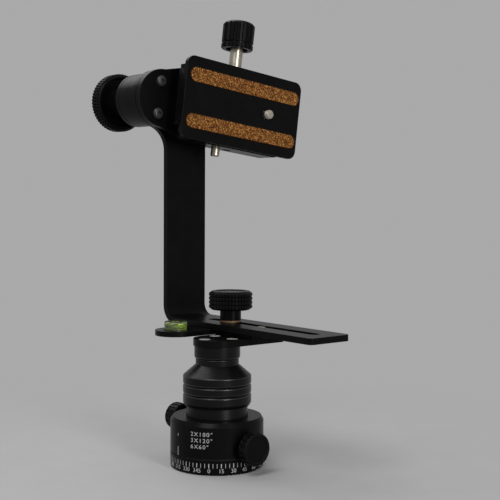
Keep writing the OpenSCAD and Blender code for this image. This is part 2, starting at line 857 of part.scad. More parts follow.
module post_screws() {
    color(steel)
        at_post_screws() {
            translate([0, 0, z_ceiling - post_screw_head_h])
                cylinder(d = small_screw_d * head_ratio, h = post_screw_head_h);
            translate([0, 0, z_ceiling - eps])
                cylinder(d = small_screw_d, h = house_roof + post_screw_grip - end_gap);
        }
}

module post_stud() {
    color(steel)
        translate([0, 0, z_collar - post_stud_low])
            cylinder(d = post_stud_d, h = post_stud_low + collar_h - stud_skin);
}

module arm_collar() {
    color(black)
        difference() {
            translate([0, 0, z_collar])
                rotate_extrude()
                    polygon([[0, 0], [collar_d / 2 - collar_chamfer, 0], [collar_d / 2, collar_chamfer],
                        [collar_d / 2, collar_h], [0, collar_h]]);
            translate([0, 0, z_collar - cut])
                bore(post_stud_d, cut + collar_h - stud_skin + end_gap);
            at_bar_screws()
                translate([0, 0, z_bar - bar_screw_grip - end_gap])
                    bore(large_screw_d, bar_screw_grip + end_gap + cut);
        }
}

// Pan bar, level plate and bubble level

module pan_bar() {
    color(black)
        difference() {
            translate([0, 0, z_bar])
                linear_extrude(bar_t) {
                    circle(d = bar_w);
                    translate([-bar_w / 2, 0]) square([bar_w, level_far_y + bar_over]);
                }
            at_bar_screws() translate([0, 0, z_level]) countersunk(large_screw_d, bar_t + cut, seat_gap);
            at_level_screws() translate([0, 0, z_bar - cut]) bore(small_screw_d, bar_t + 2 * cut);
        }
}

module bar_screws() {
    color(steel) at_bar_screws() translate([0, 0, z_level]) screw(large_screw_d, bar_t + bar_screw_grip);
}

module level_plate() {
    color(black)
        difference() {
            translate([0, 0, z_level])
                linear_extrude(level_t) {
                    translate([-lobe_x, -lobe_y]) circle(d = lobe_d);
                    translate([-lobe_x - lobe_d / 2, -lobe_y]) square([lobe_d, lobe_y + level_far_y]);
                    translate([-lobe_x, level_near_y])
                        square([lobe_x + level_right_x, level_far_y - level_near_y]);
                }
            translate([-lobe_x, -lobe_y, z_arm - vial_inlay]) bore(vial_d, vial_inlay + cut);
            at_level_screws() translate([0, 0, z_arm]) countersunk(small_screw_d, level_t + cut, seat_gap);
            translate([-bolt_x, arm_y, z_level])
                rotate([180, 0, 0]) countersunk(bolt_d, level_t + cut, seat_gap);
            translate([bolt_x, arm_y, z_level - cut]) bore(guide_pin_d, level_t + 2 * cut);
        }
}

module level_plate_screws() {
    color(steel) at_level_screws() translate([0, 0, z_arm]) screw(small_screw_d, level_t + bar_t - end_gap);
}

module level_vial() {
    color(acrylic)
        translate([-lobe_x, -lobe_y, z_arm - vial_inlay])
            difference() {
                chamfered(vial_d, vial_inlay + vial_h, small_edge);
                translate([0, 0, -cut]) cylinder(d = vial_d - 2 * vial_wall, h = fluid_h + cut);
            }
}

module level_fluid() {
    color(lime)
        translate([-lobe_x, -lobe_y, z_arm - vial_inlay])
            cylinder(d = vial_d - 2 * vial_wall - 2 * seat_gap, h = fluid_h);
}

// Slide lock

module slide_bolt() {
    color(steel)
        translate([-bolt_x, arm_y, z_level])
            rotate([180, 0, 0]) countersunk(bolt_d, z_slide_knob + bolt_pocket - z_level);
}

module slide_washer() {
    color(brass) translate([-bolt_x, arm_y, 0]) tube(slide_stem_d, bolt_d + 2 * run_gap, z_arm_top, z_stem);
}

module guide_pin() {
    color(steel)
        translate([bolt_x, arm_y, z_level])
            chamfered(guide_pin_d, level_t + arm_t - pin_drop, small_edge);
}

module slide_knob() {
    step = slide_knob_h / slide_rows;
    color(black)
        translate([-bolt_x, arm_y, z_stem])
            difference() {
                union() {
                    cylinder(d = slide_stem_d, h = slide_stem_h + cut);
                    translate([0, 0, slide_stem_h])
                        rimmed(tooth_points(slide_knob_d, knurl_depth, slide_knurls), slide_knob_d,
                            slide_knob_h, slide_edge);
                }
                for (i = [1 : slide_rows - 1])
                    translate([0, 0, slide_stem_h])
                        tube(slide_knob_d + 2 * cut, slide_knob_d - 2 * slide_groove,
                            i * step - slide_groove / 4, i * step + slide_groove / 4);
                translate([0, 0, -cut])
                    running_bore(bolt_d, cut + slide_stem_h + bolt_pocket + thread_room);
            }
}

// Arm

// Upright and its round head, drawn in the Y-Z plane with the tilt axis at height z_axis
module arm_outline() {
    head_r = arm_head_d / 2;
    edge_y = arm_near_y + eps;
    fillet_y = arm_near_y - arm_fillet_r;
    fillet_z = z_axis - sqrt(pow(head_r + arm_fillet_r, 2) - pow(fillet_y, 2));
    shoulder = acos(head_r / arm_far_y);
    translate([0, z_axis]) circle(head_r);
    translate([arm_near_y, z_arm + bend_r]) square([arm_w, z_axis - z_arm - bend_r]);
    polygon([[0, z_axis], [arm_far_y, z_axis], [head_r * cos(shoulder), z_axis + head_r * sin(shoulder)]]);
    difference() {
        polygon([[0, z_axis], [edge_y, z_axis], [edge_y, fillet_z], [fillet_y, fillet_z]]);
        translate([fillet_y, fillet_z]) circle(arm_fillet_r);
    }
}

module l_arm() {
    color(black)
        difference() {
            union() {
                translate([0, 0, z_arm])
                    linear_extrude(arm_t)
                        difference() {
                            union() {
                                rounded_plate([bend_x, arm_near_y], [arm_end, arm_far_y], arm_corner_r);
                                translate([bend_x, arm_near_y]) square([2 * arm_corner_r, arm_w]);
                            }
                            translate([0, arm_y]) rotate(-90) round_ended(-slot_in, slot_out, slot_w);
                        }
                slab_y(arm_near_y, arm_far_y)
                    translate([bend_x, z_arm + bend_r])
                        intersection() {
                            difference() {
                                circle(bend_r);
                                circle(bend_r - arm_t);
                            }
                            translate([-bend_r - cut, -bend_r - cut]) square(bend_r + cut);
                        }
                slab_x(arm_out_x, -arm_reach) arm_outline();
            }
            along_x(arm_out_x - cut, 0, z_axis) bore(tilt_bush_d, arm_t + 2 * cut);
            translate([-arm_reach, 0, z_axis])
                at_barrel_screws() rotate([0, 90, 0]) countersunk(small_screw_d, arm_t + cut, seat_gap);
        }
}

// Tilt hub

module tilt_barrel() {
    color(black)
        difference() {
            along_x(barrel_end_x, 0, z_axis) cylinder(d = barrel_d, h = barrel_l);
            along_x(barrel_end_x - cut, 0, z_axis) bore(tilt_bush_d, barrel_l + 2 * cut);
            translate([arm_out_x, 0, z_axis])
                at_barrel_screws()
                    along_x(arm_t - barrel_screw_l - cut) bore(small_screw_d, barrel_screw_l);
        }
}

module barrel_cap() {
    color(black)
        difference() {
            union() {
                along_x(cap_end_x, 0, z_axis) chamfered(barrel_d, barrel_cap_t, small_edge);
                along_x(barrel_end_x - eps, 0, z_axis) cylinder(d = tilt_bush_d, h = cap_spigot + eps);
            }
            along_x(cap_end_x - cut, 0, z_axis)
                cylinder(d = tilt_stud_d + 4 * pass_gap, h = barrel_cap_t + 2 * cut);
            along_x(barrel_end_x - hub_room, 0, z_axis)
                cylinder(d = hub_d + 2 * pass_gap, h = cap_spigot + cut);
        }
}

module barrel_screws() {
    color(steel)
        translate([-arm_reach, 0, z_axis])
            at_barrel_screws() rotate([0, 90, 0]) screw(small_screw_d, barrel_screw_l - end_gap);
}

module tilt_bush(end_x) {
    color(bronze)
        along_x(end_x, 0, z_axis) tube(tilt_bush_d, hub_d + 2 * run_gap, 0, tilt_bush_l);
}

module tilt_bush_inner() { tilt_bush(-arm_reach - tilt_bush_l); }
module tilt_bush_outer() { tilt_bush(barrel_end_x + cap_spigot); }

module tilt_washer() {
    color(nylon)
        along_x(-arm_reach, 0, z_axis)
            tube(hub_flange_d - 2 * pass_gap, hub_d + 2 * pass_gap, 0, tilt_washer_t);
}

module knob_washer() {
    color(steel)
        along_x(cap_end_x - knob_washer_t, 0, z_axis)
            tube(tilt_knob_hub_d, tilt_stud_d + 2 * pass_gap, 0, knob_washer_t);
}

module tilt_hub() {
    color(steel)
        tilted()
            difference() {
                union() {
                    along_x(flange_back_x) cylinder(d = hub_flange_d, h = hub_flange_t);
                    along_x(hub_end_x) cylinder(d = hub_d, h = flange_back_x - hub_end_x + eps);
                }
                along_x(hub_end_x - cut) bore(tilt_stud_d, stud_in_hub + cut);
                at_hub_screws() along_x(flange_back_x - cut) bore(large_screw_d, hub_flange_t + 2 * cut);
            }
}

module tilt_stud() {
    color(steel)
        tilted()
            along_x(tilt_knob_x - stud_in_knob)
                cylinder(d = tilt_stud_d, h = hub_end_x + stud_in_hub - tilt_knob_x + stud_in_knob);
}

module tilt_lock_knob() {
    color(black)
        tilted()
            along_x(tilt_knob_end_x)
                difference() {
                    union() {
                        for (row = [0 : tilt_rows - 1])
                            translate([0, 0, row * tilt_knob_t / tilt_rows])
                                rimmed(tooth_points(tilt_knob_d, knurl_depth, tilt_knurls), tilt_knob_d,
                                    tilt_knob_t / tilt_rows, tilt_edge);
                        cylinder(d = tilt_knob_hub_d, h = tilt_knob_t + tilt_knob_hub_l);
                    }
                    tube(tilt_dish_d, tilt_knob_hub_d, tilt_knob_t - tilt_dish_h, tilt_knob_t + cut);
                    translate([0, 0, tilt_knob_t + tilt_knob_hub_l - stud_in_knob - thread_room])
                        running_bore(tilt_stud_d, stud_in_knob + cut);
                }
}

// Tilt bracket

// Tail of the teardrop outline, drawn along and across the clamp, that starts inside the round end
module bracket_tail() {
    r = bracket_d / 2;
    half = bracket_w / 2;
    touch = [-r * sin(bracket_taper), r * cos(bracket_taper)];
    full_p = touch[0] + (half - touch[1]) / tan(bracket_taper);
    corner = bracket_corner_r;
    far_corner = [for (turn = [90 : -15 : 0])
        [bracket_l - corner + corner * cos(turn), half - corner + corner * sin(turn)]];
    near_side = [for (i = [len(far_corner) - 1 : -1 : 0]) [far_corner[i][0], -far_corner[i][1]]];
    start = (1 - bracket_overlap) * touch;
    polygon(concat([start, [full_p, half]], far_corner, near_side,
        [[full_p, -half], [start[0], -start[1]]]));
}

module tilt_bracket() {
    color(black)
        tilted()
            difference() {
                union() {
                    along_x(bracket_back_x) cylinder(d = bracket_d, h = bracket_t);
                    slab_x(bracket_back_x, bracket_front_x) bracket_tail();
                }
                along_x(bracket_back_x - cut) bore(hub_flange_d, flange_front_x - bracket_back_x + cut);
                at_hub_screws() along_x(bracket_back_x - cut) bore(large_screw_d, bracket_t + 2 * cut);
                translate([bracket_back_x, 0, clamp_rise])
                    at_body_screws()
                        rotate([0, -90, 0]) countersunk(large_screw_d, bracket_t + cut, seat_gap);
            }
}

module hub_screws() {
    color(steel)
        tilted()
            translate([bracket_front_x, 0, 0])
                at_hub_screws()
                    rotate([0, 90, 0])
                        button_screw(large_screw_d, bracket_front_x - flange_back_x - end_gap);
}

// Clamp

// Fixed jaw above the plate's dovetail, drawn in the X-Z plane
module jaw_lip(outer) {
    gap = pass_gap;
    w = dovetail_w / 2;
    root_x = clamp_face_x - eps;
    inner = w - dovetail_slant + 2 * gap;
    polygon([[root_x, w + gap], [slant_x, w + gap], [neck_x - gap, inner],
        [jaw_face_x, inner], [jaw_face_x, outer], [root_x, outer]]);
}

module clamp_body() {
    near = clamp_y - clamp_l / 2;
    far = clamp_y + clamp_l / 2;
    color(dark)
        clamped()
            difference() {
                union() {
                    translate([clamp_x, near, -clamp_low])
                        cube([clamp_base_t, clamp_l, clamp_low + clamp_top]);
                    slab_y(near, far) jaw_lip(clamp_top);
                }
                translate([rod_x, clamp_y, -clamp_low - cut])
                    cylinder(d = clamp_screw_d + 2 * pass_gap, h = clamp_low + clamp_top + 2 * cut);
                for (p = [-rod_pitch, rod_pitch])
                    translate([rod_x, clamp_y + p, -clamp_low - cut])
                        bore(rod_d, cut + rod_in_body + end_gap);
                translate([clamp_x, 0, 0])
                    at_body_screws()
                        along_x(-cut) bore(large_screw_d, cut + body_screw_l - bracket_t + end_gap);
            }
}

module clamp_body_screws() {
    color(steel)
        clamped()
            translate([bracket_back_x, 0, 0])
                at_body_screws() rotate([0, -90, 0]) screw(large_screw_d, body_screw_l);
}

module guide_rod(p, low) {
    color(steel)
        clamped()
            translate([rod_x, clamp_y + p, low]) chamfered(rod_d, rod_in_body - clamp_low - low, rod_edge);
}

module guide_rod_long() { guide_rod(-rod_pitch, -jaw_low - rod_show); }
module guide_rod_short() { guide_rod(rod_pitch, -short_rod_low); }

module clamp_jaw() {
    near = clamp_y - jaw_l / 2;
    far = clamp_y + jaw_l / 2;
    color(dark)
        clamped()
            difference() {
                intersection() {
                    slab_y(near, far)
                        mirror([0, 1]) {
                            jaw_lip(jaw_low);
                            translate([clamp_x + pass_gap, jaw_top])
                                square([clamp_base_t - pass_gap, jaw_low - jaw_top]);
                        }
                    slab_x(clamp_x - cut, jaw_face_x + cut)
                        rounded_plate([near, -jaw_low], [far, 0], jaw_corner_r);
                }
                for (p = [0, -rod_pitch])
                    translate([rod_x, clamp_y + p, -jaw_low - cut])
                        cylinder(d = (p == 0 ? clamp_screw_d : rod_d) + 2 * run_gap, h = jaw_low);
                translate([rod_x, clamp_y + rod_pitch, -short_rod_low - rod_end_gap])
                    running_bore(rod_d, short_rod_low);
            }
}

module clamp_screw() {
    color(steel)
        clamped()
            translate([rod_x, clamp_y, 0]) {
                translate([0, 0, -screw_in_jaw]) cylinder(d = clamp_screw_d, h = screw_in_jaw + knob_low);
                translate([0, 0, clamp_top + pass_gap])
                    cylinder(d = clamp_stem_d, h = clamp_stem_l + clamp_knob_pocket);
            }
}

module clamp_knob() {
    top = [clamp_knob_d / 2 + rim_over - clamp_knob_round, clamp_knob_h - clamp_knob_round];
    shoulder = [for (turn = [0 : 15 : 90]) top + clamp_knob_round * [cos(turn), sin(turn)]];
    color(black)
        clamped()
            translate([rod_x, clamp_y, knob_low])
                difference() {
                    intersection() {
                        linear_extrude(clamp_knob_h)
                            polygon(rib_points(clamp_knob_d, rib_depth, clamp_ribs));
                        rotate_extrude()
                            polygon(concat([[0, 0], [clamp_knob_d / 2 - rib_edge, 0],
                                [clamp_knob_d / 2 + rim_over, rib_edge + rim_over]],
                                shoulder, [[0, clamp_knob_h]]));
                    }
                    translate([0, 0, -cut]) bore(clamp_stem_d, clamp_knob_pocket + cut);
                    translate([0, 0, -cut])
                        cylinder(d = clamp_knob_d - clamp_recess_wall, h = cut + clamp_recess_h);
                    tube(clamp_knob_d + 2 * cut, clamp_knob_d - 2 * clamp_groove,
                        clamp_groove_h, clamp_groove_h + clamp_groove);
                }
}

// Camera plate

// Round-ended outline of one cork strip, drawn along and across the clamp
module cork_outline(side, grow = 0) {
    near = plate_p - plate_l / 2 + cork_near - grow;
    far = plate_p + plate_l / 2 - cork_far + grow;
    translate([0, side * cork_q]) rotate(-90) round_ended(near, far, cork_w + 2 * grow);
}

module camera_plate() {
    near = plate_p - plate_l / 2;
    far = plate_p + plate_l / 2;
    w = dovetail_w / 2;
    half_dovetail = [[foot_x, w], [slant_x, w], [neck_x, w - dovetail_slant],
        [plate_back_x + eps, w - dovetail_slant]];
    other_half = [for (i = [3 : -1 : 0]) [half_dovetail[i][0], -half_dovetail[i][1]]];
    color(black)
        clamped()
            difference() {
                union() {
                    slab_x(plate_back_x, plate_face_x)
                        rounded_plate([near, -plate_w / 2], [far, plate_w / 2], plate_corner_r);
                    slab_y(near, far) polygon(concat(half_dovetail, other_half));
                }
                for (side = [-1, 1]) slab_x(cork_x, plate_face_x + cut) cork_outline(side, seat_gap);
                along_x(foot_x - cut, camera_screw_p, 0)
                    cylinder(d = camera_hole_d, h = plate_face_x - foot_x + 2 * cut);
                along_x(foot_x - cut, camera_screw_p, 0)
                    cylinder(d = camera_screw_head_d + 2 * pass_gap,
                        h = cut + camera_screw_head_t + thread_room);
            }
}

module cork_strip(side) {
    color(cork)
        clamped()
            slab_x(cork_x, cork_x + cork_t)
                cork_outline(side);
}

module cork_upper() { cork_strip(1); }
module cork_lower() { cork_strip(-1); }

// Captive screw: slotted head, thin neck inside the plate and a threaded end outside it
module camera_screw() {
    head_x = foot_x + end_gap;
    thread_x = plate_face_x + end_gap;
    tip_x = plate_face_x + camera_screw_show;
    r = camera_screw_d / 2;
    color(steel)
        clamped()
            difference() {
                along_x(0, camera_screw_p, 0)
                    rotate_extrude()
                        polygon([[0, head_x], [camera_screw_head_d / 2, head_x],
                            [camera_screw_head_d / 2, head_x + camera_screw_head_t],
                            [camera_neck_d / 2, head_x + camera_screw_head_t],
                            [camera_neck_d / 2, thread_x], [r, thread_x],
                            [r, tip_x - rod_edge], [r - rod_edge, tip_x], [0, tip_x]]);
                translate([head_x - cut, camera_screw_p - camera_screw_head_d, -coin_slot_w / 2])
                    cube([cut + coin_slot_h, 2 * camera_screw_head_d, coin_slot_w]);
            }
}

base_plate();
base_screws();
pan_spindle();
index_ring();
thrust_washer();
spindle_washer();
spindle_nut();
pan_housing();
pan_bush();
index_sleeve();
index_spring();
riser_post();
post_screws();
post_stud();
arm_collar();
pan_bar();
bar_screws();
level_plate();
level_plate_screws();
level_vial();
level_fluid();
slide_bolt();
slide_washer();
guide_pin();
pan_lock_knob();
pan_lock_screw();
pan_lock_tip();
index_knob();
index_pin();
slide_knob();
l_arm();
tilt_barrel();
barrel_cap();
barrel_screws();
tilt_bush_inner();
tilt_bush_outer();
tilt_washer();
knob_washer();
tilt_hub();
tilt_stud();
tilt_bracket();
hub_screws();
clamp_body();
clamp_body_screws();
guide_rod_long();
guide_rod_short();
tilt_lock_knob();
clamp_knob();
clamp_screw();
clamp_jaw();
camera_plate();
cork_upper();
cork_lower();
camera_screw();
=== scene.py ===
"""Finish of a side-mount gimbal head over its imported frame, laid out as an add-on.

Every length is in metres and every piece sits at the origin with its place in its mesh.
"""

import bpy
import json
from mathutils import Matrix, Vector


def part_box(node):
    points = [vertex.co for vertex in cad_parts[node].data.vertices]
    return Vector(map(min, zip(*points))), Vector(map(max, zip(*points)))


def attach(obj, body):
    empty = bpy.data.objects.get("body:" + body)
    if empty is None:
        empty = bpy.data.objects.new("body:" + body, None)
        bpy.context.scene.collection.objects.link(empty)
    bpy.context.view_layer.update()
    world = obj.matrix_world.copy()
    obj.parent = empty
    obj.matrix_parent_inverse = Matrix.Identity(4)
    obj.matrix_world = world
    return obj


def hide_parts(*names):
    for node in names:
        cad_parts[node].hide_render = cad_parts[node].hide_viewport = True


bl_info = {
    "name": "Gimbal head finish",
    "version": (1, 0, 0),
    "blender": (4, 5, 0),
    "location": "View3D > Sidebar > Gimbal head",
    "description": "Dresses the frame of a gimbal head with its finishes, markings, knobs, level and stage",
    "category": "Object",
}

import json
import math

import bmesh
import bpy
from bpy.props import FloatProperty, FloatVectorProperty, IntProperty, PointerProperty
from bpy.types import Operator, Panel, PropertyGroup
from mathutils import Matrix, Vector, noise

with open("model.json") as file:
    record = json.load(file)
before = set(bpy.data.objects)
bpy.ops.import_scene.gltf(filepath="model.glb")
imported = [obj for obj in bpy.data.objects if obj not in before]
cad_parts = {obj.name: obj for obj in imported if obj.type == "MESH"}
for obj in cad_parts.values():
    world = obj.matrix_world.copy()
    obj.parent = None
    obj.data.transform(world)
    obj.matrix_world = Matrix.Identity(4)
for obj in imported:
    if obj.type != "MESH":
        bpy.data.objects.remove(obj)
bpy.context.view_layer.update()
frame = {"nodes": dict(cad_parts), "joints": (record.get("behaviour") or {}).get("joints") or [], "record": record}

MM = 0.001
INCH = 25.4 * MM
# An edge that bends more than this is shaded sharp
SMOOTH_ANGLE = math.radians(20)
# An outward edge that bends more than this is broken
SOFT_ANGLE = math.radians(28)
# Neighbouring faces that differ by less than this are one flat face
FLAT_ANGLE = math.radians(0.6)
# Points nearer than this are one point
MERGE = 0.002 * MM
JOINTS = {joint["name"]: joint for joint in frame["joints"]}
BODY_OF = {node: body for body, nodes in frame["record"]["behaviour"]["bodies"].items() for node in nodes}
SLOT_OF = {part["node"]: part["material_slot"] for part in frame["record"]["subparts"]}
X_AXIS = Vector((1, 0, 0))
Z_AXIS = Vector((0, 0, 1))

# Sliding joints have no point on their axis, so a round node on it gives one
SLIDE_CENTRES = {"index_pull": "index_sleeve", "jaw_slide": "guide_rod_long"}

# Black parts turned on a lathe, with the joint whose axis they were turned about
TURNED_BLACK = {"tilt_barrel": "tilt_turn", "barrel_cap": "tilt_turn"}
# Turned black parts with a brighter satin cut
SATIN = {"riser_post": "pan_turn", "arm_collar": "pan_turn"}
# Black parts milled from bar and plate
MILLED_BLACK = (
    "pan_bar", "level_plate", "l_arm", "tilt_bracket", "clamp_body", "clamp_jaw", "camera_plate",
)
# Zinc-plated screws
PLATED_SCREWS = ("base_screws", "bar_screws", "level_plate_screws", "barrel_screws", "clamp_body_screws")
# Bright turned parts that show, with the joint whose axis they were turned about
TURNED_STEEL = {
    "index_sleeve": "index_pull",
    "guide_rod_long": "jaw_slide",
    "clamp_screw": "clamp_knob_turn",
    "guide_pin": "slide_lock_turn",
}


def colour(name, description, default):
    """A colour that a user may change."""
    return FloatVectorProperty(
        name=name, description=description, default=default, subtype="COLOR", size=3, min=0, max=1
    )


def length(name, description, default):
    """A length that a user may change, in metres."""
    return FloatProperty(name=name, description=description, default=default, unit="LENGTH", precision=6)


class GimbalSizes(PropertyGroup):
    """Sizes of the fine detail"""

    edge: length("Broken edge", "Width of the broken edges of the black parts", 0.4 * MM)
    screw_edge: length("Screw edge", "Width of the broken edges of the screws", 0.12 * MM)
    tick_length: length("Tick length", "Length of a scale mark", 2.7 * MM)
    tick_width: length("Tick width", "Width of a scale mark", 0.34 * MM)
    main_width: length("Main tick width", "Width of a scale mark that has a number", 0.56 * MM)
    number_height: length("Number height", "Height of the scale's numbers", 2.5 * MM)
    legend_height: length("Legend height", "Height of the numbers on the housing", 2.5 * MM)
    print_depth: length("Print depth", "Thickness of the white print", 0.04 * MM)
    knob_edge: length("Knob edge", "Width of the broken edges of the knobs", 0.15 * MM)
    flute: length("Flute", "Depth of the flutes between the ribs of the base's knobs", 0.6 * MM)
    stud_height: length("Knurl height", "Height of a knurl's studs", 0.95 * MM)
    grain_height: length("Cork grain height", "How far the cork's grains stand out", 0.16 * MM)
    bubble: length("Bubble", "Diameter of the level's bubble", 5.2 * MM)
    scale_step: IntProperty(name="Scale step", description="Degrees between two scale marks", default=5)
    number_step: IntProperty(name="Number step", description="Degrees between two numbers", default=15)


class GimbalColours(PropertyGroup):
    """Colours of the finishes"""

    anodised: colour("Anodised black", "Black anodised aluminium", (0.0030, 0.0030, 0.0033))
    # The worn edge colour is paler than the faces: partly burnished wear, partly a painted highlight along the
    # edges
    worn: colour("Worn edge", "Burnished edges of the anodised parts", (0.007, 0.007, 0.0075))
    steel: colour("Steel", "Turned and polished steel", (0.42, 0.385, 0.315))
    zinc: colour("Zinc", "Zinc plate of the screws", (0.44, 0.43, 0.405))
    nickel: colour("Nickel", "Dull nickel of the camera screw", (0.36, 0.32, 0.27))
    oxide: colour("Black oxide", "Blackened button screws", (0.035, 0.035, 0.036))
    # Darker than clean brass: partly the washer's dull colour, partly painted shade about the slide knob's stem
    brass: colour("Brass", "Brass washer", (0.20, 0.125, 0.07))
    bronze: colour("Bronze", "Bearing bronze", (0.42, 0.27, 0.13))
    nylon: colour("Nylon", "Graphite-filled nylon", (0.05, 0.05, 0.05))
    cork_light: colour("Cork, light grains", "Light grains of the cork", (0.205, 0.073, 0.015))
    cork_pale: colour("Cork, pale grains", "Palest grains of the cork", (0.46, 0.228, 0.064))
    cork_dark: colour("Cork, dark grains", "Dark grains of the cork", (0.038, 0.011, 0.003))
    vial: colour("Vial", "Clear acrylic of the level", (0.84, 0.94, 0.55))
    fluid: colour("Fluid", "Fluid of the level", (0.30, 0.44, 0.03))
    bubble: colour("Bubble", "Bubble of the level", (0.93, 0.97, 0.80))
    white_print: colour("White print", "Print of the scale and numbers", (0.40, 0.40, 0.39))
    paper: colour("Paper", "Floor and background", (0.40, 0.40, 0.40))


def sizes():
    return bpy.context.scene.gimbal_sizes


def colours():
    return bpy.context.scene.gimbal_colours


def axis_of(joint_name):
    """A point on a joint's axis and the axis's direction."""
    joint = JOINTS[joint_name]
    if joint_name in SLIDE_CENTRES:
        low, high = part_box(SLIDE_CENTRES[joint_name])
        point = (low + high) / 2
    else:
        point = Vector(joint["pos_m"])
    return point, Vector(joint["axis"]).normalized()


def mount_dims(name):
    """Sizes of one of the record's mounts."""
    return next(mount for mount in frame["record"]["mounts"] if mount["name"] == name)["dims"]


# Shader helpers

def new_look(name):
    """A material with its node tree and its main shader."""
    look = bpy.data.materials.new(name)
    look.use_nodes = True
    shader = next(node for node in look.node_tree.nodes if node.type == "BSDF_PRINCIPLED")
    return look, look.node_tree, shader


def wire(tree, kind, inputs=None, **settings):
    """A shader node whose inputs are values or other nodes' outputs."""
    made = tree.nodes.new(kind)
    for key, value in settings.items():
        setattr(made, key, value)
    for socket, value in (inputs or {}).items():
        if isinstance(value, bpy.types.NodeSocket):
            tree.links.new(value, made.inputs[socket])
        else:
            made.inputs[socket].default_value = value
    return made


def object_place(tree):
    return wire(tree, "ShaderNodeTexCoord").outputs["Object"]


def lathe_place(tree, joint_name):
    """Distance from a turning axis and height along it, so that a pattern runs round as tool marks do."""
    point, axis = axis_of(joint_name)
    turned = wire(tree, "ShaderNodeMapping", {
        "Vector": object_place(tree),
        "Location": point,
        "Rotation": axis.to_track_quat("Z", "Y").to_euler(),
    }, vector_type="TEXTURE")
    parts = wire(tree, "ShaderNodeSeparateXYZ", {"Vector": turned.outputs[0]})
    across = wire(tree, "ShaderNodeCombineXYZ", {"X": parts.outputs["X"], "Y": parts.outputs["Y"]})
    radius = wire(tree, "ShaderNodeVectorMath", {0: across.outputs[0]}, operation="LENGTH")
    return wire(tree, "ShaderNodeCombineXYZ", {
        "X": radius.outputs["Value"], "Y": parts.outputs["Z"],
    }).outputs[0]


def seen_rays(tree):
    """1 for a ray from the camera, off a gloss or through a clear piece, and 0 for one that only lights."""
    rays = wire(tree, "ShaderNodeLightPath").outputs
    seen = wire(tree, "ShaderNodeMath", {
        0: rays["Is Camera Ray"], 1: rays["Is Glossy Ray"],
    }, operation="ADD", use_clamp=True)
    return wire(tree, "ShaderNodeMath", {
        0: seen.outputs[0], 1: rays["Is Transmission Ray"],
    }, operation="ADD", use_clamp=True).outputs[0]


def grain(tree, place, size, detail=2.0):
    """Noise whose features are about the given size."""
    return wire(tree, "ShaderNodeTexNoise", {
        "Vector": place, "Scale": 1 / size, "Detail": detail,
    }).outputs[0]


def ranged(tree, value, low, high):
    """A noise value, most of which lie in a narrow span, spread over a range."""
    noise_low, noise_high = 0.3, 0.7
    return wire(tree, "ShaderNodeMapRange", {
        "Value": value, "From Min": noise_low, "From Max": noise_high, "To Min": low, "To Max": high,
    }).outputs[0]


def between(tree, value, *stops):
    """A colour ramp: each stop is a position and a colour."""
    ramp = wire(tree, "ShaderNodeValToRGB", {"Fac": value})
    marks = ramp.color_ramp.elements
    while len(marks) < len(stops):
        marks.new(1.0)
    for mark, (position, shade) in zip(marks, stops):
        mark.position = position
        mark.color = (*shade, 1.0)
    return ramp.outputs[0]


def shaded(shade, factor):
    return tuple(min(1.0, channel * factor) for channel in shade)


def bumped(tree, shader, height, depth, strength=1.0):
    bump = wire(tree, "ShaderNodeBump", {"Strength": strength, "Distance": depth, "Height": height})
    tree.links.new(bump.outputs["Normal"], shader.inputs["Normal"])


def clouded(tree, shader, value, span, shade, spread):
    """Colour that drifts over a span of a noise value, from a darker shade to a paler one."""
    low, high = span
    drift = between(tree, value, (low, shaded(shade, 1 - spread)), (high, shaded(shade, 1 + spread)))
    tree.links.new(drift, shader.inputs["Base Color"])


def mix_surface(tree, output_type, share, plain, seen):
    """Mixes two shaders by a share of the second and makes the result the tree's surface."""
    mixed = wire(tree, "ShaderNodeMixShader", {0: share, 1: plain.outputs[0], 2: seen.outputs[0]})
    output = next(node for node in tree.nodes if node.type == output_type)
    tree.links.new(mixed.outputs[0], output.inputs["Surface"])


def coated(name, shade, joint_name=None, metallic=0.0, specular=0.5, *, rough, fine, broad, depth):
    """A finish made once, of a broad and a fine grain; the fine one may run round a joint's axis."""
    if name in bpy.data.materials:
        return bpy.data.materials[name]
    look, tree, shader = new_look(name)
    place = lathe_place(tree, joint_name) if joint_name else object_place(tree)
    clouded(tree, shader, grain(tree, object_place(tree), broad), (0.35, 0.65), shade, spread=0.14)
    fleck = grain(tree, place, fine, detail=3.0)
    tree.links.new(ranged(tree, fleck, *rough), shader.inputs["Roughness"])
    bumped(tree, shader, fleck, depth)
    shader.inputs["Metallic"].default_value = metallic
    shader.inputs["Specular IOR Level"].default_value = specular
    return look


def anodised(joint_name=None, satin=False):
    """Black anodising: bead-blasted, or with faint tool marks about a joint's axis, dull or satin."""
    return coated(
        f"{'satin' if satin else 'anodised'}_{joint_name or 'blasted'}", colours().anodised, joint_name,
        specular=0.16 if satin else 0.07,
        rough=(0.26, 0.34), fine=0.35 * MM, broad=9 * MM, depth=0.003 * MM,
    )


def worn_edge(satin=False):
    """Anodising burnished along an edge and a little paler than the faces, as wear and as a painted edge
    highlight, dull or satin.
    """
    return coated(
        "satin_highlit_edge" if satin else "worn_edge", colours().worn, specular=0.42 if satin else 0.09,
        rough=(0.28, 0.38) if satin else (0.48, 0.6), fine=0.5 * MM, broad=6 * MM, depth=0.003 * MM,
    )


def blackened(joint_name=None, satin=False):
    """The two finishes of a black part: its faces, and its edges with their wear and painted highlight."""
    return [anodised(joint_name, satin), worn_edge(satin)]


def steel(joint_name=None):
    """Bright steel: plain, or with tool marks about a joint's axis."""
    return coated(
        f"steel_{joint_name or 'plain'}", colours().steel, joint_name, metallic=1.0,
        rough=(0.26, 0.40), fine=0.3 * MM, broad=5 * MM, depth=0.003 * MM,
    )


def screw_finish(name, shade, metallic):
    """Plated or blackened screw steel, dull and a little cloudy."""
    return coated(
        name, shade, metallic=metallic,
        rough=(0.34, 0.48), fine=0.25 * MM, broad=2 * MM, depth=0.004 * MM,
    )


def zinc():
    return screw_finish("zinc", colours().zinc, 0.35)


def nickel():
    return screw_finish("nickel", colours().nickel, 0.35)


def black_oxide():
    return screw_finish("black_oxide", colours().oxide, 0.4)


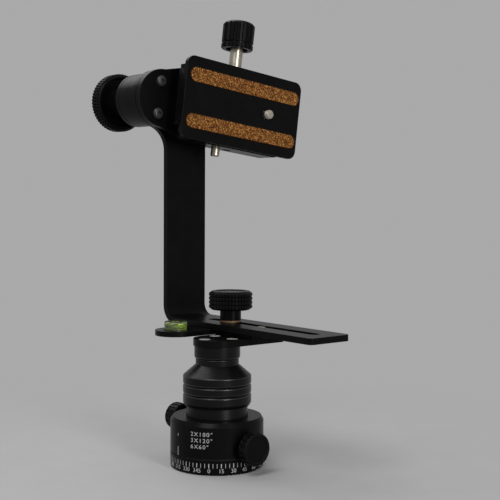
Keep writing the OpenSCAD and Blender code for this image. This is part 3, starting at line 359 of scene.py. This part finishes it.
def soft_metal(name, shade, joint_name):
    """Turned brass or bronze, dulled by handling; the brass is also darkened as painted shade, for the shade about
    the slide knob's stem.
    """
    return coated(
        name, shade, joint_name, metallic=0.6,
        rough=(0.48, 0.62), fine=0.3 * MM, broad=3 * MM, depth=0.004 * MM,
    )


def brass():
    return soft_metal("turned_brass", colours().brass, "slide_lock_turn")


def bronze():
    return soft_metal("turned_bronze", colours().bronze, "pan_turn")


def nylon():
    """Graphite-filled nylon, matt with a moulded grain."""
    return coated(
        "moulded_nylon", colours().nylon,
        rough=(0.55, 0.7), fine=0.5 * MM, broad=4 * MM, depth=0.01 * MM,
    )


def white_print():
    """Matt white ink, a little worn."""
    return coated(
        "white_print", colours().white_print,
        rough=(0.5, 0.65), fine=0.2 * MM, broad=1.2 * MM, depth=0.003 * MM,
    )


def cork(name, factor):
    """Pressed cork: fine grains of several browns, with dark specks between them."""
    grain_size = 0.75 * MM
    speck_size = 0.6 * MM
    speck_shade = (0.3, 0.26, 0.22)
    gloss_size = 0.4 * MM
    relief = 0.2 * MM
    look, tree, shader = new_look(name)
    place = object_place(tree)
    light = shaded(colours().cork_light, factor)
    pale = shaded(colours().cork_pale, factor)
    dark = shaded(colours().cork_dark, factor)
    middle = tuple((a + b) / 2 for a, b in zip(light, dark))
    cells = wire(tree, "ShaderNodeTexVoronoi", {"Vector": place, "Scale": 1 / grain_size})
    shade = wire(tree, "ShaderNodeSeparateColor", {"Color": cells.outputs["Color"]}).outputs[0]
    browns = between(tree, shade, (0.0, dark), (0.3, middle), (0.6, light), (1.0, pale))
    spots = grain(tree, place, speck_size, detail=4.0)
    specks = between(tree, spots, (0.34, speck_shade), (0.46, (1, 1, 1)))
    # Sockets 6 and 7 of a mix node are its two colours, and its output 2 is their mix
    mixed = wire(
        tree, "ShaderNodeMix", {0: 1.0, 6: browns, 7: specks}, data_type="RGBA", blend_type="MULTIPLY"
    )
    tree.links.new(mixed.outputs[2], shader.inputs["Base Color"])
    tree.links.new(ranged(tree, grain(tree, place, gloss_size), 0.78, 0.95), shader.inputs["Roughness"])
    bumped(tree, shader, cells.outputs["Distance"], relief, strength=0.5)
    shader.inputs["Specular IOR Level"].default_value = 0.12
    return look


def clear(name, shade, ior, transmission, rough):
    """A clear piece with faint unevenness in its gloss."""
    look, tree, shader = new_look(name)
    cloud_size = 2 * MM
    cloud = grain(tree, object_place(tree), cloud_size)
    clouded(tree, shader, cloud, (0.3, 0.7), shade, spread=0.05)
    tree.links.new(ranged(tree, cloud, *rough), shader.inputs["Roughness"])
    shader.inputs["IOR"].default_value = ior
    shader.inputs["Transmission Weight"].default_value = transmission
    return look


# Shape helpers

def finish_piece(name, bm, looks, body, stands_for=()):
    """Makes an object of a bmesh, smooth but for its sharp edges, and fixes it to its body."""
    bm.normal_update()
    for face in bm.faces:
        face.smooth = True
    for edge in bm.edges:
        if edge.calc_face_angle(0) > SMOOTH_ANGLE:
            edge.smooth = False
    mesh = bpy.data.meshes.new(name)
    bm.to_mesh(mesh)
    bm.free()
    for look in looks:
        mesh.materials.append(look)
    piece = bpy.data.objects.new(name, mesh)
    bpy.context.scene.collection.objects.link(piece)
    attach(piece, body)
    if stands_for:
        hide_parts(*stands_for)


def finish_node(node, bm, looks):
    """Makes the piece that stands for a node, on the node's own body."""
    finish_piece(f"{node}.finished", bm, looks, BODY_OF[node], [node])


def everything(bm):
    """All the elements of a shape, for a cut through it."""
    return bm.verts[:] + bm.edges[:] + bm.faces[:]


def node_shape(node):
    """A merged copy of a node's shape, with its flat stretches joined into single faces."""
    bm = bmesh.new()
    bm.from_mesh(frame["nodes"][node].data)
    bmesh.ops.remove_doubles(bm, verts=bm.verts, dist=MERGE)
    bmesh.ops.dissolve_limit(bm, angle_limit=FLAT_ANGLE, verts=bm.verts, edges=bm.edges)
    return bm


def draw_in_wall(bm, outer):
    """Draws a wall round the pan axis in by the thickness of its print, and gives its new radius."""
    radius = outer - sizes().print_depth
    for vertex in bm.verts:
        if math.hypot(vertex.co.x, vertex.co.y) > radius:
            vertex.co.xy *= radius / outer
    return radius


def break_edges(bm, width):
    """Rounds the outward edges of a shape, which take its second finish and are shaded on their own."""
    edges = [edge for edge in bm.edges if edge.is_manifold and edge.calc_face_angle_signed() > SOFT_ANGLE]
    rounded = bmesh.ops.bevel(
        bm, geom=edges, offset=width, offset_type="OFFSET", segments=2, profile=0.5,
        affect="EDGES", material=-1, clamp_overlap=True,
    )
    strips = set(rounded["faces"])
    for face in strips:
        face.material_index = 1
        for edge in face.edges:
            if not strips.issuperset(edge.link_faces):
                edge.smooth = False


def dress(node, looks, width):
    """A node's own shape with its edges broken and its finishes on."""
    bm = node_shape(node)
    break_edges(bm, width)
    finish_node(node, bm, looks)


def spin_round(bm, geometry, centre, axis, steps):
    """Turns a section once round an axis and closes the shape, with its faces outwards."""
    bmesh.ops.spin(
        bm, geom=geometry, cent=centre, axis=axis, angle=math.tau, steps=steps,
        use_merge=True, use_normal_flip=False, use_duplicate=False,
    )
    bmesh.ops.remove_doubles(bm, verts=bm.verts, dist=MERGE)
    bmesh.ops.recalc_face_normals(bm, faces=bm.faces)


def spun(profile, place, steps):
    """Turns a profile of (radius, height) points about the Z axis of a place."""
    bm = bmesh.new()
    points = [bm.verts.new((radius, 0, height)) for radius, height in profile]
    edges = [bm.edges.new(pair) for pair in zip(points, points[1:])]
    spin_round(bm, points + edges, (0, 0, 0), Z_AXIS, steps)
    bmesh.ops.transform(bm, matrix=place, verts=bm.verts)
    return bm


def turned_again(node, joint_name):
    """A round node's section spun about its axis, so that its faces run evenly round it."""
    steps = 120
    point, axis = axis_of(joint_name)
    bm = node_shape(node)
    cut = bmesh.ops.bisect_plane(
        bm, geom=everything(bm), plane_co=point, plane_no=axis.cross(X_AXIS), dist=MERGE
    )
    section = bmesh.new()
    corners = {}
    for edge in cut["geom_cut"]:
        if not isinstance(edge, bmesh.types.BMEdge):
            continue
        if min((vertex.co - point).dot(X_AXIS) for vertex in edge.verts) < 0:
            continue
        for vertex in edge.verts:
            if vertex not in corners:
                corners[vertex] = section.verts.new(vertex.co)
        section.edges.new([corners[vertex] for vertex in edge.verts])
    bm.free()
    spin_round(section, section.verts[:] + section.edges[:], point, axis, steps)
    return section


def axis_space(joint_name, node, outward):
    """Place, length and radius of a round node: its frame starts at its inner end, with Z outward."""
    origin, axis = axis_of(joint_name)
    axis = axis if axis.dot(outward) > 0 else -axis
    points = [vertex.co - origin for vertex in frame["nodes"][node].data.vertices]
    along = [point.dot(axis) for point in points]
    radius = max((point - axis * point.dot(axis)).length for point in points)
    turn = axis.to_track_quat("Z", "Y").to_matrix().to_4x4()
    place = Matrix.Translation(origin + axis * min(along)) @ turn
    return place, max(along) - min(along), radius


def shoulder(joint_name, node, outward, radius):
    """Height over a round node's inner end at which it grows clearly wider than a radius."""
    wider = 1.1 * radius
    back = axis_space(joint_name, node, outward)[0].inverted()
    points = [back @ vertex.co for vertex in frame["nodes"][node].data.vertices]
    return min(point.z for point in points if math.hypot(point.x, point.y) > wider)


def wall_faces(bm, place, low, high, radius):
    """Faces of a knob's wall between two heights, with their angle round its axis."""
    near = 0.97 * radius
    back = place.inverted()
    wall = []
    for face in bm.faces:
        centre = back @ face.calc_center_median()
        if low < centre.z < high and math.hypot(centre.x, centre.y) > near:
            wall.append((face, math.atan2(centre.y, centre.x) % math.tau))
    return wall


def studded(bm, place, low, high, radius, flank):
    """Raises a stud with sloping flanks on each face of a knob's wall between two heights."""
    wall = [face for face, _ in wall_faces(bm, place, low, high, radius)]
    bmesh.ops.inset_individual(
        bm, faces=wall, thickness=flank, depth=sizes().stud_height, use_even_offset=True
    )


def rows_between(low, high, rows):
    """Heights at which a knurl's rows start and end."""
    return [low + (high - low) * row / rows for row in range(rows + 1)]


def fluted_knob(node, joint_name, outward, neck=(0, 0)):
    """A knob with flutes along its wall and a raised rim round its outer face, on a neck or without one."""
    flutes = 18
    edge = 0.6 * MM
    rim_width = 1.3 * MM
    sink = 0.7 * MM
    flank = 0.22 * MM
    place, height, radius = axis_space(joint_name, node, outward)
    neck_radius, start = neck
    lip = radius - edge - rim_width
    profile = [(0, 0), (neck_radius, 0), (neck_radius, start)] if start else [(0, 0)]
    profile += [(radius - edge, start), (radius, start + edge)]
    profile += [(radius, height - edge), (radius - edge, height), (lip, height)]
    profile += [(lip - sink, height - sink), (0, height - sink)]
    bm = spun(profile, place, 2 * flutes)
    half_step = math.pi / flutes
    wall = wall_faces(bm, place, start + edge, height - edge, radius)
    sunk = [face for face, turn in wall if int(turn / half_step) % 2 == 0]
    bmesh.ops.inset_individual(bm, faces=sunk, thickness=flank, depth=-sizes().flute, use_even_offset=True)
    break_edges(bm, sizes().knob_edge)
    finish_node(node, bm, blackened(joint_name))


def words_mesh(words, height, widen=1.0, spacing=1.0):
    """A bmesh of words lying flat, centred, with the given height of a figure."""
    figure_share = 0.69
    text = bpy.data.curves.new("words", "FONT")
    text.body = words
    text.size = height / figure_share
    text.align_x = "CENTER"
    text.align_y = "CENTER"
    text.space_character = spacing
    text.extrude = sizes().print_depth / 2
    holder = bpy.data.objects.new("words", text)
    bpy.context.scene.collection.objects.link(holder)
    bpy.context.view_layer.update()
    flat = holder.evaluated_get(bpy.context.evaluated_depsgraph_get()).to_mesh()
    bm = bmesh.new()
    bm.from_mesh(flat)
    bpy.data.objects.remove(holder)
    bpy.data.curves.remove(text)
    bmesh.ops.remove_doubles(bm, verts=bm.verts, dist=MERGE)
    bmesh.ops.scale(bm, vec=(widen, 1, 1), verts=bm.verts)
    return bm


def mark_mesh(width, height):
    """A bmesh of a plain bar lying flat."""
    bm = bmesh.new()
    bmesh.ops.create_cube(bm, size=1, matrix=Matrix.Diagonal((width, height, sizes().print_depth, 1)))
    return bm


def wrap(bm, radius, angle, height):
    """Bends flat print round the pan axis, centred at an angle and a height."""
    strip = 0.5 * MM
    snap = 1e-8
    reach = max(abs(vertex.co.x) for vertex in bm.verts)
    for count in range(-int(reach / strip), int(reach / strip) + 1):
        bmesh.ops.bisect_plane(
            bm, geom=everything(bm), plane_co=X_AXIS * count * strip, plane_no=X_AXIS, dist=snap
        )
    for vertex in bm.verts:
        turn = angle + vertex.co.x / radius
        out = radius + vertex.co.z
        vertex.co = (out * math.cos(turn), out * math.sin(turn), height + vertex.co.y)


def gather(shapes):
    """Joins bmeshes into one."""
    whole = bmesh.new()
    for shape in shapes:
        part = bpy.data.meshes.new("part")
        shape.to_mesh(part)
        shape.free()
        whole.from_mesh(part)
        bpy.data.meshes.remove(part)
    return whole


class StageBuilder(Operator):
    """Make the floor, the soft lights, the background and the camera"""

    bl_idname = "gimbal.stage"
    bl_label = "Stage"

    def execute(self, context):
        self.floor(context.scene)
        self.world(context.scene)
        self.lamps(context.scene)
        self.camera(context.scene)
        context.scene.view_settings.view_transform = "Standard"
        return {"FINISHED"}

    def floor(self, scene):
        """A wide pale disc that fades into the background away from the head."""
        radius = 4.0
        mottle = 25 * MM
        fade_start = 0.06
        fade_end = 0.36
        bm = bmesh.new()
        bmesh.ops.create_circle(bm, cap_ends=True, radius=radius, segments=96)
        mesh = bpy.data.meshes.new("floor")
        bm.to_mesh(mesh)
        bm.free()
        look, tree, shader = new_look("paper")
        shade = between(
            tree, grain(tree, object_place(tree), mottle),
            (0.3, colours().paper), (0.7, shaded(colours().paper, 1.04)),
        )
        tree.links.new(shade, shader.inputs["Base Color"])
        shader.inputs["Roughness"].default_value = 0.9
        shader.inputs["Specular IOR Level"].default_value = 0.1
        glow = wire(tree, "ShaderNodeEmission", {"Color": (*colours().paper, 1.0)})
        away = wire(tree, "ShaderNodeVectorMath", {0: object_place(tree)}, operation="LENGTH")
        fade = wire(tree, "ShaderNodeMapRange", {
            "Value": away.outputs["Value"], "From Min": fade_start, "From Max": fade_end,
        }, interpolation_type="SMOOTHSTEP")
        seen = wire(tree, "ShaderNodeMath", {0: fade.outputs[0], 1: seen_rays(tree)}, operation="MULTIPLY")
        mix_surface(tree, "OUTPUT_MATERIAL", seen.outputs[0], shader, glow)
        mesh.materials.append(look)
        floor = bpy.data.objects.new("floor", mesh)
        scene.collection.objects.link(floor)

    def world(self, scene):
        """A plain fill light, seen as the pale background."""
        world = bpy.data.worlds.new("studio")
        world.use_nodes = True
        scene.world = world
        tree = world.node_tree
        fill = next(node for node in tree.nodes if node.type == "BACKGROUND")
        fill.inputs["Color"].default_value = (1, 1, 1, 1)
        fill.inputs["Strength"].default_value = 0.23
        backdrop = wire(tree, "ShaderNodeBackground", {"Color": (*colours().paper, 1.0), "Strength": 1.0})
        mix_surface(tree, "OUTPUT_WORLD", seen_rays(tree), fill, backdrop)

    def lamps(self, scene):
        """Soft boxes: broad and high on the left, small and high in front, tall and low on the right."""
        target = Vector((0, 0.02, 0.15))
        boxes = {
            "left_box": ((-0.75, 0.05, 1.25), (1.1, 1.1), 10.5),
            "front_box": ((0.30, -0.70, 1.05), (0.6, 0.6), 6.8),
            "right_box": ((1.35, -0.10, 0.50), (0.35, 0.9), 10.5),
        }
        for name, (place, (width, height), power) in boxes.items():
            light = bpy.data.lights.new(name, "AREA")
            light.shape = "RECTANGLE"
            light.size = width
            light.size_y = height
            light.energy = power
            lamp = bpy.data.objects.new(name, light)
            lamp.location = place
            lamp.rotation_euler = (target - Vector(place)).to_track_quat("-Z", "Y").to_euler()
            scene.collection.objects.link(lamp)

    def camera(self, scene):
        """The photograph's view."""
        azimuth = math.radians(50.14)
        pitch = math.radians(2.875)
        roll = math.radians(0.323)
        place = Vector((537.5, -421.9, 172.9)) * MM
        right = Vector((math.cos(azimuth), math.sin(azimuth), 0))
        ahead = Vector((-math.sin(azimuth), math.cos(azimuth), 0))
        back = Z_AXIS * math.sin(pitch) - ahead * math.cos(pitch)
        up = back.cross(right)
        level = Matrix((right, up, back)).transposed() @ Matrix.Rotation(roll, 3, "Z")
        lens = bpy.data.cameras.new("photo_view")
        lens.sensor_width = 36
        lens.lens = 77.04
        lens.clip_start = 0.01
        eye = bpy.data.objects.new("photo_view", lens)
        eye.matrix_world = Matrix.Translation(place) @ level.to_4x4()
        scene.collection.objects.link(eye)
        scene.camera = eye


class BlackParts(Operator):
    """Dress the black anodised parts that aren't knobs"""

    bl_idname = "gimbal.black_parts"
    bl_label = "Black parts"

    def execute(self, context):
        for node, joint_name in TURNED_BLACK.items():
            dress(node, blackened(joint_name), sizes().edge)
        for node, joint_name in SATIN.items():
            bm = turned_again(node, joint_name)
            break_edges(bm, sizes().edge)
            finish_node(node, bm, blackened(joint_name, True))
        for node in MILLED_BLACK:
            dress(node, blackened(), sizes().edge)
        return {"FINISHED"}


class BrightParts(Operator):
    """Dress the screws, rods, pin and washer"""

    bl_idname = "gimbal.bright_parts"
    bl_label = "Bright parts"

    def execute(self, context):
        looks = {node: zinc() for node in PLATED_SCREWS}
        looks["hub_screws"] = black_oxide()
        looks |= {node: steel(joint_name) for node, joint_name in TURNED_STEEL.items()}
        looks["slide_washer"] = brass()
        for node, look in looks.items():
            dress(node, [look, look], sizes().screw_edge)
        return {"FINISHED"}


class ScaleRing(Operator):
    """Make the base with its ring of scale marks and numbers"""

    bl_idname = "gimbal.scale_ring"
    bl_label = "Scale ring"

    def execute(self, context):
        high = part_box("base_plate")[1]
        bm = node_shape("base_plate")
        radius = draw_in_wall(bm, high.x)
        break_edges(bm, sizes().edge)
        finish_node("base_plate", bm, blackened("pan_turn"))
        self.marks(radius, high.z)
        return {"FINISHED"}

    def marks(self, radius, top):
        """The scale marks and numbers, under the wall's top."""
        zero = math.radians(-47.7)
        top_margin = 2.2 * MM
        number_drop = 0.7 * MM
        tick_centre = top - top_margin - sizes().tick_length / 2
        number_centre = top - top_margin - sizes().tick_length - number_drop - sizes().number_height / 2
        prints = []
        for degrees in range(0, 360, sizes().scale_step):
            numbered = degrees % sizes().number_step == 0
            tick = mark_mesh(sizes().main_width if numbered else sizes().tick_width, sizes().tick_length)
            wrap(tick, radius, zero + math.radians(degrees), tick_centre)
            prints.append(tick)
            if numbered:
                number = words_mesh(str(degrees), sizes().number_height)
                wrap(number, radius, zero + math.radians(degrees), number_centre)
                prints.append(number)
        finish_piece("scale_print", gather(prints), [white_print()], "base")


class Housing(Operator):
    """Make the pan housing with its stop numbers and its index bar"""

    bl_idname = "gimbal.housing"
    bl_label = "Pan housing"

    def execute(self, context):
        bm = node_shape("pan_housing")
        radius = draw_in_wall(bm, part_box("pan_housing")[1].x)
        break_edges(bm, sizes().edge)
        finish_node("pan_housing", bm, blackened("pan_turn"))
        self.legend(radius)
        return {"FINISHED"}

    def legend(self, radius):
        """The stop numbers and the index bar."""
        lines = {"2X180°": 25.5, "3X120°": 21.6, "6X60°": 17.7}
        left_end = math.radians(-70.8)
        widen = 1.13
        spacing = 1.2
        bar_angle = math.radians(-92.4)
        bars = {13.2: 5.6, 23.4: 1.4}
        bar_width = 0.6 * MM
        prints = []
        for words, height in lines.items():
            print_shape = words_mesh(words, sizes().legend_height, widen, spacing)
            half = max(vertex.co.x for vertex in print_shape.verts)
            wrap(print_shape, radius, left_end + half / radius, height * MM)
            prints.append(print_shape)
        for centre, height in bars.items():
            bar = mark_mesh(bar_width, height * MM)
            wrap(bar, radius, bar_angle, centre * MM)
            prints.append(bar)
        finish_piece("housing_print", gather(prints), [white_print()], "pan")


class BaseKnobs(Operator):
    """Make the pan lock knob and the index knob"""

    bl_idname = "gimbal.base_knobs"
    bl_label = "Base knobs"

    def execute(self, context):
        neck = 6 * MM
        start = shoulder("pan_lock_turn", "pan_lock_knob", -X_AXIS, neck)
        fluted_knob("pan_lock_knob", "pan_lock_turn", -X_AXIS, (neck, start))
        fluted_knob("index_knob", "index_pull", X_AXIS)
        return {"FINISHED"}


class SlideKnob(Operator):
    """Make the slide lock knob, its wall cut into small squares"""

    bl_idname = "gimbal.slide_knob"
    bl_label = "Slide knob"

    def execute(self, context):
        place, height, radius = axis_space("slide_lock_turn", "slide_knob", Z_AXIS)
        washer_low, washer_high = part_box("slide_washer")
        stem = (washer_high.x - washer_low.x) / 2
        start = shoulder("slide_lock_turn", "slide_knob", Z_AXIS, stem)
        core = radius - sizes().stud_height
        end = 0.8 * MM
        flank = 0.55 * MM
        dish_radius = radius * 0.68
        dish = 0.5 * MM
        rows = 4
        steps = 40
        profile = [(0, 0), (stem, 0), (stem, start), (core - end, start)]
        profile += [(core, z) for z in rows_between(start + end, height - end, rows)]
        profile += [(core - end, height), (dish_radius + dish, height), (dish_radius, height - dish)]
        profile += [(0, height - dish)]
        bm = spun(profile, place, steps)
        studded(bm, place, start + end, height - end, core, flank)
        break_edges(bm, sizes().knob_edge)
        finish_node("slide_knob", bm, blackened("slide_lock_turn"))
        return {"FINISHED"}


class TiltKnob(Operator):
    """Make the tilt lock knob with its knurled rim and dished faces"""

    bl_idname = "gimbal.tilt_knob"
    bl_label = "Tilt knob"

    def execute(self, context):
        place, height, radius = axis_space("tilt_lock_turn", "tilt_lock_knob", -X_AXIS)
        hub = 11 * MM
        rim = shoulder("tilt_lock_turn", "tilt_lock_knob", -X_AXIS, hub)
        core = radius - sizes().stud_height
        end = 0.7 * MM
        flank = 0.42 * MM
        dish = 3.0 * MM
        rim_width = 3.2 * MM
        lip = radius - rim_width
        shallow = 1.0 * MM
        cap = radius * 0.42
        rows = 3
        steps = 56
        profile = [(0, 0), (hub - end, 0), (hub, end), (hub, rim + dish), (lip - end, rim + dish)]
        profile += [(lip, rim + dish - end), (lip, rim + end / 2), (lip + end / 2, rim), (core - end, rim)]
        profile += [(core, z) for z in rows_between(rim + end, height - end, rows)]
        profile += [(core - end, height), (lip, height), (lip - shallow, height - shallow)]
        profile += [(cap + shallow, height - shallow)]
        profile += [(cap, height - shallow / 2), (0, height - shallow / 2)]
        bm = spun(profile, place, steps)
        studded(bm, place, rim + end, height - end, core, flank)
        break_edges(bm, sizes().knob_edge)
        finish_node("tilt_lock_knob", bm, blackened("tilt_turn"))
        return {"FINISHED"}


class ClampKnob(Operator):
    """Dress the ribbed clamp knob"""

    bl_idname = "gimbal.clamp_knob"
    bl_label = "Clamp knob"

    def execute(self, context):
        dress("clamp_knob", blackened("clamp_knob_turn"), sizes().knob_edge)
        return {"FINISHED"}


class BubbleLevel(Operator):
    """Make the round bubble level"""

    bl_idname = "gimbal.bubble_level"
    bl_label = "Bubble level"

    def execute(self, context):
        low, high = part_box("level_vial")
        centre = (low + high) / 2
        place = Matrix.Translation((centre.x, centre.y, low.z))
        radius = (high.x - low.x) / 2
        height = high.z - low.z
        wall = 0.9 * MM
        edge = 0.6 * MM
        floor = 1.2 * MM
        roof = 1.3 * MM
        steps = 64
        shell = [(0, 0), (radius, 0), (radius, height - edge)]
        shell += [(radius - edge / 3, height - edge / 3), (radius - edge, height), (0, height)]
        acrylic = clear("acrylic", colours().vial, ior=1.49, transmission=0.95, rough=(0.03, 0.08))
        vial = spun(shell, place, steps)
        finish_piece("level_vial.clear", vial, [acrylic], "pan", ["level_vial"])
        inner = radius - wall
        surface = height - roof
        filling = [(0, floor), (inner, floor), (inner, surface - edge)]
        filling += [(inner - edge, surface), (0, surface)]
        spirit = clear("level_fluid", colours().fluid, ior=1.36, transmission=0.86, rough=(0.03, 0.08))
        fluid = spun(filling, place, steps)
        finish_piece("level_fluid.clear", fluid, [spirit], "pan", ["level_fluid"])
        self.bubble(place, surface, height, steps)
        return {"FINISHED"}

    def bubble(self, place, under, top, steps):
        """The bubble under the roof and the black ring printed round it."""
        bubble_steps = 48
        outline = [(0, 0.6), (0.6, 0.5), (1, 0), (0.9, -0.5), (0.5, -1), (0, -1)]
        flat = 0.45 * MM
        gap = 0.7 * MM
        line = 0.35 * MM
        half = sizes().bubble / 2
        bubble = spun([(half * out, under + flat * up) for out, up in outline], place, bubble_steps)
        air = clear("bubble_air", colours().bubble, ior=1.2, transmission=0.4, rough=(0.05, 0.1))
        finish_piece("level_bubble", bubble, [air], "pan")
        ring = half + gap
        under_print = top - sizes().print_depth
        band = [(ring, under_print), (ring + line, under_print), (ring + line, top), (ring, top)]
        band += band[:1]
        finish_piece("level_ring", spun(band, place, steps), [nylon()], "pan")


class CorkStrips(Operator):
    """Make the two cork strips with their grains and pressed edges, with painted shade on the edges"""

    bl_idname = "gimbal.cork_strips"
    bl_label = "Cork strips"

    def execute(self, context):
        face_look = cork("cork", 1.0)
        # The sunk rim and sides of a strip are darkened to a tenth, as painted shade of the gap round the cork
        shaded_edge_look = cork("cork_painted_shade_edge", 0.1)
        for node in ("cork_upper", "cork_lower"):
            self.strip(node, face_look, shaded_edge_look)
        return {"FINISHED"}

    def strip(self, node, face_look, shaded_edge_look):
        rim = 0.6 * MM
        pitch = 0.8 * MM
        sink = 0.18 * MM
        bump = 1.1 * MM
        square_on = 0.99
        bm = node_shape(node)
        facing = [face for face in bm.faces if face.normal.x > square_on]
        outer = max(facing, key=lambda face: face.calc_center_median().x)
        ring = bmesh.ops.inset_region(bm, faces=[outer], thickness=rim, depth=0, use_even_offset=True)
        front = outer.calc_center_median().x
        # All faces but the strip's face take the painted-shade look
        for face in bm.faces:
            face.material_index = 1
        outer.material_index = 0
        inside = set(outer.verts)
        for vertex in {vertex for face in ring["faces"] for vertex in face.verts} - inside:
            vertex.co.x -= sink
        self.cut_grid(bm, pitch)
        for vertex in bm.verts:
            if vertex.co.x > front - MERGE:
                vertex.co.x -= sizes().grain_height * (0.5 + 0.5 * noise.noise(vertex.co / bump))
        finish_node(node, bm, [face_look, shaded_edge_look])

    def cut_grid(self, bm, pitch):
        """Cuts the cork's face into small squares along the plate."""
        snap = 1e-7
        for joint_name in ("plate_slide", "clamp_knob_turn"):
            axis = Vector(JOINTS[joint_name]["axis"])
            along = [vertex.co.dot(axis) for vertex in bm.verts]
            start = min(along)
            for count in range(1, int((max(along) - start) / pitch) + 1):
                face_parts = [face for face in bm.faces if face.material_index == 0]
                parts = set(face_parts)
                for face in face_parts:
                    parts.update(face.edges)
                    parts.update(face.verts)
                bmesh.ops.bisect_plane(
                    bm, geom=list(parts), plane_co=axis * (start + count * pitch), plane_no=axis, dist=snap
                )


class CameraScrew(Operator):
    """Make the camera screw with its thread and rounded tip"""

    bl_idname = "gimbal.camera_screw"
    bl_label = "Camera screw"

    def execute(self, context):
        place, height, _ = axis_space("camera_screw_turn", "camera_screw", X_AXIS)
        dims = mount_dims("camera_thread")
        crest = dims["r_mm"] * MM
        tip = 0.5 * MM
        start = height - tip - dims["length_mm"] * MM
        head = node_shape("camera_screw")
        bmesh.ops.bisect_plane(
            head, geom=everything(head), plane_co=place @ (Z_AXIS * start), plane_no=X_AXIS,
            dist=MERGE, clear_outer=True,
        )
        bmesh.ops.holes_fill(head, edges=[edge for edge in head.edges if edge.is_boundary])
        break_edges(head, sizes().screw_edge)
        thread = self.thread(place, start, height, crest, tip)
        finish_node("camera_screw", gather([head, thread]), [nickel(), nickel()])
        return {"FINISHED"}

    def thread(self, place, start, end, crest, tip):
        """The threaded end, as a stack of ridges with a rounded tip."""
        pitch = INCH / 20
        rise, fall = 0.4 * pitch, 0.6 * pitch
        lead = 0.15 * MM
        steps = 40
        root = crest - 0.5 * MM
        profile = [(0, start)]
        for turn in range(int((end - tip - start) / pitch)):
            low = start + turn * pitch
            profile += [(root, low), (crest, low + rise), (crest, low + fall), (root, low + pitch)]
        profile += [(crest - lead, end - tip), (crest - tip, end - tip / 3)]
        profile += [(crest / 2, end), (0, end)]
        return spun(profile, place, steps)


class TripodThread(Operator):
    """Make the thread of the tripod socket"""

    bl_idname = "gimbal.tripod_thread"
    bl_label = "Tripod thread"

    def execute(self, context):
        pitch = INCH / 16
        rise, fall = 0.45 * pitch, 0.55 * pitch
        crest = 0.55 * MM
        steps = 48
        low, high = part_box("base_plate")
        radius = mount_dims("tripod_thread")["r_mm"] * MM
        inner = radius - crest
        outer = radius + crest / 4
        profile = []
        for turn in range(int((high.z - low.z - 2 * pitch) / pitch) + 1):
            start = low.z + pitch + turn * pitch
            profile += [(radius, start), (inner, start + rise), (inner, start + fall)]
        profile += [(radius, profile[-1][1] + rise), (outer, profile[-1][1])]
        profile += [(outer, profile[0][1]), profile[0]]
        bm = spun(profile, Matrix.Identity(4), steps)
        finish_piece("tripod_thread", bm, [steel("pan_turn")], "base")
        return {"FINISHED"}


class InnerParts(Operator):
    """Give the parts that stay as they are their finishes"""

    bl_idname = "gimbal.inner_parts"
    bl_label = "Inner parts"

    def execute(self, context):
        looks = {
            "anodised": anodised(),
            "steel": steel(),
            "brass": brass(),
            "bronze": bronze(),
            "nylon": nylon(),
        }
        for node, part in frame["nodes"].items():
            look = looks.get(SLOT_OF[node])
            if look is None:
                continue
            for slot in part.material_slots:
                slot.material = look
        return {"FINISHED"}


BUILDERS = (
    StageBuilder, BlackParts, BrightParts, ScaleRing, Housing, BaseKnobs, SlideKnob, TiltKnob, ClampKnob,
    BubbleLevel, CorkStrips, CameraScrew, TripodThread, InnerParts,
)


class GimbalPanel(Panel):
    """Lists what makes the gimbal head's finish"""

    bl_idname = "VIEW3D_PT_gimbal_head"
    bl_label = "Gimbal head"
    bl_space_type = "VIEW_3D"
    bl_region_type = "UI"
    bl_category = "Gimbal head"

    def draw(self, context):
        for builder in BUILDERS:
            self.layout.operator(builder.bl_idname)
        for group in (context.scene.gimbal_sizes, context.scene.gimbal_colours):
            for name in group.__annotations__:
                self.layout.prop(group, name)


CLASSES = (GimbalSizes, GimbalColours, *BUILDERS, GimbalPanel)


def register():
    for each in CLASSES:
        bpy.utils.register_class(each)
    bpy.types.Scene.gimbal_sizes = PointerProperty(type=GimbalSizes)
    bpy.types.Scene.gimbal_colours = PointerProperty(type=GimbalColours)


def unregister():
    del bpy.types.Scene.gimbal_colours
    del bpy.types.Scene.gimbal_sizes
    for each in reversed(CLASSES):
        bpy.utils.unregister_class(each)


def main():
    register()
    for builder in BUILDERS:
        group, name = builder.bl_idname.split(".")
        getattr(getattr(bpy.ops, group), name)()


if __name__ == "__main__":
    main()
